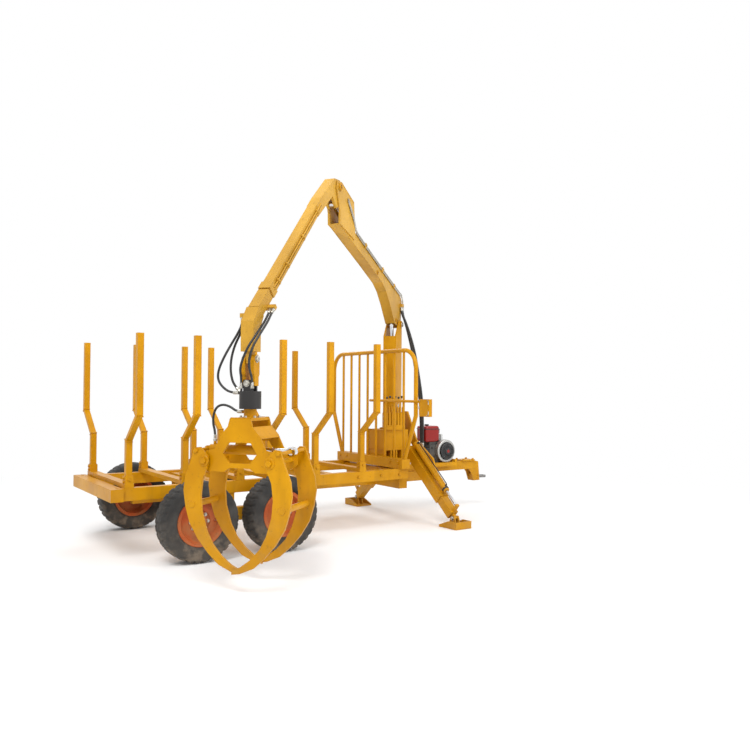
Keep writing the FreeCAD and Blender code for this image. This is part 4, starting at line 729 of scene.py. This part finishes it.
# %% Bolts of the frame and crane
BUNKS = (0, 550, 1131, 1467, 2033, 2643)
RAIL = 637           # side rail and stake foot, out from the centre line
SOCKET_HALF = 39     # half the width of a stake's socket
socket_bolts, frame_bolts = [], []
for at in BUNKS:
    for side in (-1, 1):
        for high in (745, 780):
            socket_bolts += bolt((at - SOCKET_HALF, side * RAIL, high), (-1, 0, 0), 20, 9)
        socket_bolts += bolt((at, side * (RAIL + SOCKET_HALF), 762), (0, side, 0), 20, 9)
piece("socket_bolts", on_trailer(socket_bolts), "trailer", YELLOW)
for x in (4715, 4885):
    for y in (-70, 70):
        frame_bolts += bolt((x, y, 669), (0, 0, 1), 26, 14)
for x in (3960, 4440):
    for y in (-165, 165):
        frame_bolts += bolt((x, y, 665), (0, 0, 1), 20, 11)
for y in (-50, 50):
    for z in (395, 445):
        frame_bolts += bolt((4990, y, z), (0, math.copysign(1, y), 0), 24, 12)
for x in (2580, 2900, 3160):
    for side in (-1, 1):
        frame_bolts += bolt((x, side * (RAIL + 40), 627), (0, side, 0), 24, 12)
frame_bolts += bolt_ring((MAST, 0, 1120), (0, 0, 1), 152, range(60, 301, 30), 24)
for y in (-640, -480, 480, 640):
    frame_bolts += bolt((3170, y, 760), (-1, 0, 0), 24, 12)
piece("frame_bolts", on_trailer(frame_bolts), "trailer", YELLOW)
flange_angles = [angle + turn for turn in (0, 180) for angle in (-32, -16, 0, 16, 32)]
piece("column_bolts", on_crane(bolt_ring((0, 0, 1325.5), (0, 0, 1), 112, flange_angles, 22)), "column", ZINC)
piece("neck_bolts", on_tip(bolt_ring((0, 0, 1390), (0, 0, 1), 74, (30, 90, 150, 210, 330), 20)), "grapple", ZINC)
print("frame bolts:", FITTED["frame_bolts"], "faces")

# %% [markdown]
# A welded machine shows its seams. A bead of weld is a tube whose radius
# swells at every second ring, like a row of drops that ran into each other.

# %% Beads of weld
SWELL = 0.28


def bead(start, stop, radius=5.0, pitch=9.0):
    """Straight bead between two points."""
    start, stop = np.array(start, float), np.array(stop, float)
    count = max(4, int(np.linalg.norm(stop - start) / pitch))
    return tube(start + (stop - start) * np.linspace(0, 1, count)[:, None], radius, 6, SWELL)


def ring_bead(middle, radius, across, count):
    """Bead round a circle: its points are M + r (cos a U + sin a V), with U and V across the circle."""
    a = np.arange(count)[:, None] * 2 * np.pi / count
    u, v = np.array(across, float)
    return tube(np.array(middle, float) + radius * (np.cos(a) * u + np.sin(a) * v), 5, 6, SWELL, closed=True)


def square_bead(middle, half, z_tilt=0.0):
    """Bead round a square tube, its plane tipped about X: height rises with y by the tilt."""
    x, y, z = middle
    t = np.linspace(0, 4, 49)[:-1]
    u = np.clip(np.abs((t + 0.5) % 4 - 2) * 2 - 2, -1, 1)
    w = np.clip(np.abs((t + 3.5) % 4 - 2) * 2 - 2, -1, 1)
    path = np.stack([x + half * u, y + half * w, z + half * w * z_tilt], axis=-1)
    return tube(path, 4.5, 6, SWELL, closed=True)


print("a bead of 90 mm has", len(bead((0, 0, 0), (90, 0, 0))[1]), "faces")

# %% [markdown]
# On the trailer, beads run round each stake at its foot and its two knees,
# across the rails at every bolster, and along the edges of the crane's stand.
# A knee is cut on a slant, so its bead is tilted.

# %% Welds of the trailer
KNEE_TILT = 0.45
CROSS_WELDS = (-150, 551, 1131, 1467, 2033, 2643, 2883, 3250)
welds = []
for at in BUNKS:
    for side in (-1, 1):
        welds += [square_bead((at, side * RAIL, 1130), 29, -side * KNEE_TILT),
                  square_bead((at, side * 945, 1377), 29, -side * KNEE_TILT), square_bead((at, side * RAIL, 801), 30)]
for side in (-1, 1):
    for x in CROSS_WELDS:
        welds.append(bead((x + 45, side * (RAIL - 40), 687), (x + 45, side * (RAIL + 40), 687)))
    welds += [bead((3290, side * 200, 870), (3656, side * 200, 870)),
              bead((3290, side * 200, 1120), (3290, -side * 200, 1120))]
piece("frame_welds", on_trailer(welds), "trailer", YELLOW)
print("trailer welds:", FITTED["frame_welds"], "faces")

# %% [markdown]
# The boom is a box of four plates, so its beads follow the upper and lower
# edges of both side plates. Round beads sit where tubes meet plates: at the
# claws' bars and at the grapple's neck.

# %% Welds of the crane
boom_welds = []
for side in (-1, 1):
    for line in (((-133, 2437), (115, 2473), (302, 2695), (452, 2841), (601, 2927), (1022, 3066), (1945, 3353)),
                 ((960, 3205), (-117, 2827), (-167, 2768))):
        for a, b in zip(line, line[1:]):
            boom_welds.append(bead((a[0], side * 60, a[1]), (b[0], side * 60, b[1]), 4.0, 11.0))
    boom_welds.append(bead((1570, side * 72, 3668), (1923, side * 72, 3796), 4.0, 11.0))
piece("boom_welds", on_crane(boom_welds), "boom", PALE_YELLOW)
for side, label, off in CLAWS:
    rings = []
    for end in (-1, 1):
        for (y, z), r in ((CLAW_BAR, 28), (GRIP_PIN, 16)):
            rings.append(ring_bead((TIP + end * (off - 13), side * y, z), r, ((0, 1, 0), (0, 0, 1)), 24))
    piece("welds_" + label, on_crane(rings), label, YELLOW)
neck = []
for end in (-1, 1):
    face = TIP + end * 147
    neck += [bead((face, -94, 1388), (face, 94, 1388))]
    neck += [bead((face, side * 108, 1306), (face, side * 170, 1240)) for side in (-1, 1)]
neck.append(ring_bead((TIP, 0, 1391), 53, ((1, 0, 0), (0, 1, 0)), 36))
piece("grapple_welds", on_crane(neck), "grapple", YELLOW)
print("crane welds:", FITTED["boom_welds"] + FITTED["grapple_welds"], "faces")

# %% [markdown]
# Each cylinder ends in a screwed gland with a wiper lip, and takes its oil
# through an elbow at each end. A gland is one turned outline that closes on
# itself, and an elbow is a nut with a bent tube.

# %% Glands and elbows
def gland(at, axis, barrel, rod, long=34):
    """Gland: a ring a little fatter than its barrel, grooved in the middle, tapering to the rod."""
    r = barrel + 6
    outline = [(rod + 1, 0), (barrel + 1, 0), (r, 3), (r, long * 0.4), (r - 2.5, long * 0.44),
               (r - 2.5, long * 0.56), (r, long * 0.6), (r, long - 3), (r - 3, long), (rod + 5, long),
               (rod + 3, long + 4), (rod + 0.6, long + 4)]
    return aim(lathe(outline + outline[:1], 36), at, axis)


def along(p, q, s):
    """The point a distance s from p towards q."""
    p, q = np.array(p, float), np.array(q, float)
    return p + (q - p) * s / np.linalg.norm(q - p)


def elbow(place, out, turn):
    """Port: a hexagon nut on the barrel and a short pipe that turns a right angle."""
    place, out, turn = np.array(place, float), np.array(out, float), np.array(turn, float)
    pipe = tube(bend([place + out * 8, place + out * 34, place + out * 34 + turn * 46], 16), 8.0, 10)
    cap = aim(lathe([(0, 0), (12, 0), (12, 14), (0, 14)], 6), place + out * 34 + turn * 34, turn)
    return [aim(nut(16, 15), place, out), pipe, cap]


LIFT, LIFT_EYE = (35, 0, 1420), (50, 0, 2520)
JIB_FOOT, JIB_EYE = (760, 0, 3025), (1995, 0, 3550)
up_lift = np.array(LIFT_EYE, float) - LIFT
up_jib = np.array(JIB_EYE, float) - JIB_FOOT
lift_fitted = [gland(along(LIFT, LIFT_EYE, 742), up_lift, 38, 25)]
for s, turn in ((690, -1), (80, 1)):
    lift_fitted += elbow(along(LIFT, LIFT_EYE, s) + [36, 0, 0], (1, 0, 0), (0, 0, turn))
piece("lift_gland", on_crane(lift_fitted), "lift_barrel", BLACK_PAINT)
jib_side = np.array([0.0, 0.0, 1.0]) - up_jib * (up_jib[2] / (up_jib @ up_jib))
jib_side /= np.linalg.norm(jib_side)
jib_port = along(JIB_FOOT, JIB_EYE, 715) + jib_side * 30
piece("jib_gland", on_crane([gland(along(JIB_FOOT, JIB_EYE, 762), up_jib, 32, 18)] +
                            elbow(jib_port, jib_side, -up_jib / np.linalg.norm(up_jib))), "jib_barrel", BLACK_PAINT)
piece("grip_gland", on_tip([gland((0, 83, 1121), (0, 1, 0), 40, 22.5)]), "grip_barrel", BLACK_PAINT)
print("glands on the crane's cylinders")

# %% [markdown]
# The two legs lean outwards, and their cylinders lie beside them. A thin pipe
# joins the two ports of each, on the side that faces away from the leg.

# %% Glands of the legs
LEAN = math.radians(41)
for side, label in SIDES:
    down = np.array([0.0, side * math.cos(LEAN), -math.sin(LEAN)])
    off = np.array([0.0, side * math.sin(LEAN), math.cos(LEAN)])
    ankle = np.array(ANKLE, float) * [1, side, 1]
    low, high = ankle - down * 322 + off * 130, ankle - down * 1085 + off * 130
    fitted = [gland(low - down * 30, down, 37.5, 18, 26)]
    for end in (low - down * 40, high):
        fitted.append(aim(nut(15, 17), end + off * 34, off))
    run = [low - down * 40 + off * 50, low - down * 40 + off * 64, high + off * 64, high + off * 50]
    fitted.append(tube(bend(run, 14), 6, 8))
    piece("leg_gland_" + label, on_trailer(fitted), "trailer", BLACK_PAINT)
print("leg glands:", FITTED["leg_gland_left"] + FITTED["leg_gland_right"], "faces")

# %% [markdown]
# The loader's long runs are steel pipe in pairs, plated on the boom and
# painted over on the jib. Clamps hold them down, and only the joints between
# arms use rubber hose.

# %% Hard pipes
def clamp(middle, along_pipe, out, wide=26.0):
    """Pipe clamp: a rounded block across two pipes with one bolt through it."""
    w = np.array(along_pipe, float) / np.linalg.norm(along_pipe)
    o = np.array(out, float)
    cross = np.cross(w, o)
    points, faces = rounded_block((58, wide, 22), square=0.2, rows=10, cols=20)
    return [(points @ np.array([cross, w, o]) + np.array(middle, float), faces)] + \
        bolt(np.array(middle, float) + o * 10, o, 16, 8)


pipes, clamps = [], []
for offset in (0, 22):
    line = [(-130, 96 - offset * 0.3, 2751), (-130, 78, 2840 + offset), (-70, 70, 2850 + offset * 1.3),
            (935, 70, 3168 + offset), (1480, 70, 3345 + offset), (1600, 84, 3480 + offset), (1760, 84, 3640 + offset)]
    pipes.append(tube(bend(line, 50), 7.5, 10))
for at, z in ((180, 2939), (620, 3079), (1200, 3265)):
    clamps += clamp((at, 72, z), (0.954, 0, 0.3), (0, 1, 0))
piece("boom_pipes", on_crane(pipes), "boom", ZINC)
piece("boom_clamps", on_crane(clamps), "boom", PALE_YELLOW)
JIB_RUN, JIB_DROP = 1040, 1025    # ahead and down, from the elbow to the jib's end
jib_ahead = np.array([JIB_RUN, 0.0, -JIB_DROP]) / math.hypot(JIB_RUN, JIB_DROP)
jib_up = np.array([JIB_DROP, 0.0, JIB_RUN]) / math.hypot(JIB_RUN, JIB_DROP)
elbow_at = np.array([2370.0, 0.0, 3475.0])
pipes, clamps = [], []
for offset in (-11, 11):
    near = elbow_at + [0, 60, 0] + jib_up * offset
    pipes.append(tube(bend([near + jib_ahead * 40 + [0, -4, 0], near + jib_ahead * 120, near + jib_ahead * 1330,
                            near + jib_ahead * 1400 + [0, -4, 0]], 40), 7.0, 10))
for s in (180, 620, 1060, 1300):
    clamps += clamp(elbow_at + jib_ahead * s + [0, 62, 0], jib_ahead, (0, 1, 0), 24)
piece("jib_pipes", on_crane(pipes), "jib", PALE_YELLOW)
piece("jib_clamps", on_crane(clamps), "jib", PALE_YELLOW)
print("pipes:", FITTED["boom_pipes"] + FITTED["jib_pipes"], "faces")

# %% [markdown]
# A hose is crimped into a steel sleeve at each end and screwed down by a
# hexagon nut. Both are turned shapes that start at the port and follow the
# hose's first straight run.

# %% Hose ends
def hose_end(port, onward, size):
    """Nut and ridged sleeve along the hose, from its port; radii grow with the hose."""
    r = size * 500
    nut = lathe([(r * 0.8, -2), (r + 6, -2), (r + 6, 13), (r + 3, 16), (r * 0.8, 16)], 6)
    ridges = [(r * 0.9, 15), (r + 2.5, 15)] + [(r + 2.5 + 1.4 * (i % 2), 17 + i * 4.5) for i in range(7)] + \
        [(r + 2.0, 48), (r + 0.2, 50)]
    return [aim(nut, port, onward), aim(lathe(ridges, 24), port, onward)]


CARRIERS = {"hose_grapple": ("grapple", "grip_barrel"), "hose_supply": ("boom", "trailer"),
            "hose_return": ("boom", "trailer")}
ends = {}
for name, (_, size, _, points) in ROUTES.items():
    first, last = CARRIERS.get(name, ("extension", "rotator"))
    for body, port, onward in ((first, points[0], points[1]), (last, points[-1], points[-2])):
        step = np.array(onward) - np.array(port)
        ends.setdefault(body, []).extend(
            [(p / 1000, f) for p, f in hose_end(np.array(port) * 1000, step, size)])
for body, shapes in ends.items():
    piece("hose_ends_" + body, shapes, body, ZINC)
print("hose ends on", sorted(ends))

# %% [markdown]
# A road wheel bolts on with eight nuts round its hub. Each rim gets the
# rolled flange that holds the tyre's bead, its nuts, a domed dust cap and a
# valve.

# %% Wheel fittings
for label, (at, side) in WHEELS.items():
    middle = (at, side * TRACK, HUB_HIGH)
    flanges = []
    for end in (-1, 1):
        lip = [(199, 84), (205, 90), (219, 95), (228, 97), (231, 93), (227, 90), (217, 90), (206, 84)]
        flanges.append(aim(lathe(lip + lip[:1], 72), middle, (0, end, 0)))
    cone = [(176, 39), (150, 41), (128, 47), (108, 48), (100, 40)]
    flanges.append(aim(lathe(cone, 64), middle, (0, side, 0)))
    piece("rim_flange_" + label, on_trailer(flanges), "wheel_" + label, RIM_RED)
    hub = bolt_ring((at, side * (TRACK + 40), HUB_HIGH), (0, side, 0), 85, range(0, 360, 45), 24)
    cap = [(0, 92), (24, 91), (42, 86), (50, 78), (52, 70), (56, 69), (56, 64)]
    hub.append(aim(lathe(cap, 32), middle, (0, side, 0)))
    stem = [(at + x, side * (TRACK + out), HUB_HIGH) for x, out in ((150, 36), (158, 52), (168, 74))]
    hub.append(tube(bend(stem, 8), 4, 8))
    piece("wheel_nuts_" + label, on_trailer(hub), "wheel_" + label, ZINC)
print("wheel fittings:", FITTED["rim_flange_rear_left"] + FITTED["wheel_nuts_rear_left"], "faces a wheel")

# %% [markdown]
# The power pack is a small petrol engine. Its red tank is pressed from two
# halves, whose seam shows as a belt. The belt follows the tank's own outline,
# x = a cos(v)^0.22 and y = b sin(v)^0.22, a little outside it.

# %% Fuel tank
TANK_X, TANK_Y, TANK_POWER = 4137.5, -7.5, 0.22
tank = rounded_block((235, 205, 212), (TANK_X, TANK_Y, 1043), TANK_POWER, 30, 56)
piece("tank_shell", on_trailer([tank]), "trailer", TANK_RED, ["fuel_tank"], sharp=70)
v = np.arange(96) * 2 * np.pi / 96
belt = np.stack([TANK_X + 119 * signed_power(np.cos(v), TANK_POWER),
                 TANK_Y + 104 * signed_power(np.sin(v), TANK_POWER), 1108 + 0 * v], axis=-1)
piece("tank_belt", on_trailer([tube(belt, 5, 8, closed=True)]), "trailer", PLASTIC)
cap = [(0, 0), (24, 0), (24, 4)] + [(30 - 1.2 * (i % 2), 5 + 2 * i) for i in range(8)] + [(26, 22), (0, 24)]
piece("tank_cap", on_trailer([aim(lathe(cap, 30), (4105, -20, 1147), (0, 0, 1))]), "trailer", PLASTIC)
print("tank:", FITTED["tank_shell"], "faces")

# %% [markdown]
# A fan at the engine's side cools it. Its housing is a turned ring, and in
# the ring's middle sits the rope starter, a domed cover cut by slots.

# %% Fan and starter
def starter_cover(radius=111.0):
    """Height 14 (1 - s^2) over a share s of the radius; 24 slots sink 6 mm where s is 0.42 to 0.86."""
    r = np.concatenate([np.linspace(0, radius, 26), [radius, radius]])[:, None]
    a = np.arange(120)[None, :] * 2 * np.pi / 120
    share = r / radius
    slot = ((share > 0.42) & (share < 0.86)) * (np.cos(24 * a) > 0)
    z = 35 + 14 * (1 - share ** 2) - 6 * slot
    z[-2:] = np.array([[26.0], [0.0]])
    return surface(np.stack([r * np.cos(a), r * np.sin(a), z], axis=-1), loop_cols=True)


FAN_MID = (4320, -165, 815)
piece("starter_cover", on_trailer([aim(starter_cover(), FAN_MID, (0, -1, 0))]), "trailer", PLASTIC)
ring = [(113, 0), (113, 7), (120, 12), (140, 12), (149, 6), (151, -4), (151, -50), (147, -52)]
piece("fan_ring", on_trailer([aim(lathe(ring, 72), FAN_MID, (0, -1, 0))]), "trailer", ALLOY)
button = [(0, 51), (14, 51), (20, 50), (23, 46), (23, 40)]
piece("starter_button", on_trailer([aim(lathe(button, 28), FAN_MID, (0, -1, 0))]), "trailer", TANK_RED)
print("starter cover:", FITTED["starter_cover"], "faces")

# %% [markdown]
# An air-cooled cylinder is a stack of thin fins. On it stand a canister air
# cleaner and a muffler with slots over its mouth.

# %% Cylinder, air cleaner and muffler
fins = [rounded_block((88, 170 - 6 * (k % 2), 4.5), (4306, 15, 944 + 12 * k), 0.15, 8, 32) for k in range(8)]
fins.append(rounded_block((64, 120, 100), (4306, 15, 985), 0.2, 14, 24))
piece("cylinder_fins", on_trailer(fins), "trailer", ALLOY)
canister = [(0, 0), (44, 0), (48, 4), (48, 46), (51, 48), (51, 54), (47, 58), (20, 63), (0, 64)]
piece("air_cleaner", on_trailer([aim(lathe(canister, 40), (4308, 30, 1040), (0, 0, 1)),
                                 aim(lathe([(0, 0), (9, 0), (9, 8), (0, 9)], 6), (4308, 30, 1103), (0, 0, 1))]),
      "trailer", PLASTIC)
muffler = [rounded_block((84, 150, 92), (4402, 40, 880), 0.3, 20, 36)]
muffler.append(tube(bend([(4360, 40, 860), (4402, 60, 850), (4430, 90, 830), (4430, 132, 830)], 20), 13, 12))
for k in range(5):
    muffler.append(rounded_block((3, 90, 5), (4445, 40, 850 + 14 * k), 0.4, 6, 12))
piece("muffler", on_trailer(muffler), "trailer", STEEL)
print("cylinder:", FITTED["cylinder_fins"], "faces")

# %% [markdown]
# A bent line, four bolts and a filler plug finish the engine. They are tubes,
# bolt heads and a turned plug, gathered into one piece because they share a
# finish.

# %% Small fittings of the engine
small = [tube(bend([(4230, -112, 700), (4200, -150, 690), (4150, -160, 700), (4150, -122, 760)], 24), 5, 8)]
for z in (720, 860):
    small += bolt((4120, -117, z), (0, -1, 0), 16, 8)
for z in (700, 820):
    small += bolt((3940, -68, z), (-1, 0, 0), 20, 9)
small.append(aim(lathe([(0, 0), (14, 0), (14, 10), (9, 22), (9, 30), (0, 31)], 16), (4160, -60, 937), (0, 0, 1)))
piece("engine_fittings", on_trailer(small), "trailer", BLACK_PAINT)
print("small fittings:", FITTED["engine_fittings"], "faces")

# %% [markdown]
# The loader is worked from its valve bank. Seven slices carry seven levers
# with round knobs, and the levers stand a little unevenly, as they are left.
# Under them are the ports, two on each slice.

# %% Levers
SLICES = MAST - 249 + 44 * np.arange(7)
levers, knobs = [], []
for index, x in enumerate(SLICES):
    foot = np.array([x, -202.0, 1398.0])
    top = foot + [6 * (index % 3 - 1), -26, 118 + 10 * (index % 2)]
    levers.append(tube(bend([foot, foot + [0, 0, 40], top], 26), 4.5, 8))
    levers.append(aim(lathe([(0, 0), (10, 0), (10, 7), (6, 14), (0, 15)], 14), foot, (0, 0, 1)))
    ball = [(15 * math.sin(a), -15 * math.cos(a)) for a in np.linspace(0, math.pi, 12)]
    knobs.append(aim(lathe(ball, 20), top + [0, 0, 8], (0, 0, 1)))
piece("valve_levers", on_trailer(levers), "trailer", YELLOW)
piece("lever_knobs", on_trailer(knobs), "trailer", PLASTIC)
port = lathe([(0, 0), (13, 0), (13, 12), (9, 15), (9, 24), (0, 24)], 6)
ports = [aim(port, (x, -176, z), (0, 1, 0)) for x in SLICES for z in (1230, 1290)]
piece("valve_ports", on_trailer(ports), "trailer", ZINC)
print("levers:", FITTED["valve_levers"] + FITTED["lever_knobs"], "faces")

# %% [markdown]
# The box on the headboard's outer end has a pressed lid, two hinges, a catch
# and four small bolts.

# %% Control box
lid = rounded_block((7, 172, 190), (3205, -1078, 1418), 0.14, 16, 40)
catch = [rounded_block((10, 22, 34), (3200, -1000, 1418), 0.3, 10, 16)]
for z in (1358, 1478):
    catch.append(tube([(3203, -1163, z - 22), (3203, -1163, z), (3203, -1163, z + 22)], 6, 12))
for y in (-1150, -1010):
    for z in (1335, 1500):
        catch += bolt((3202, y, z), (-1, 0, 0), 10, 5, washer=False)
piece("box_lid", on_trailer([lid]), "trailer", YELLOW)
piece("box_catch", on_trailer(catch), "trailer", ZINC)
print("box:", FITTED["box_lid"] + FITTED["box_catch"], "faces")

# %% Finish
bpy.context.view_layer.update()
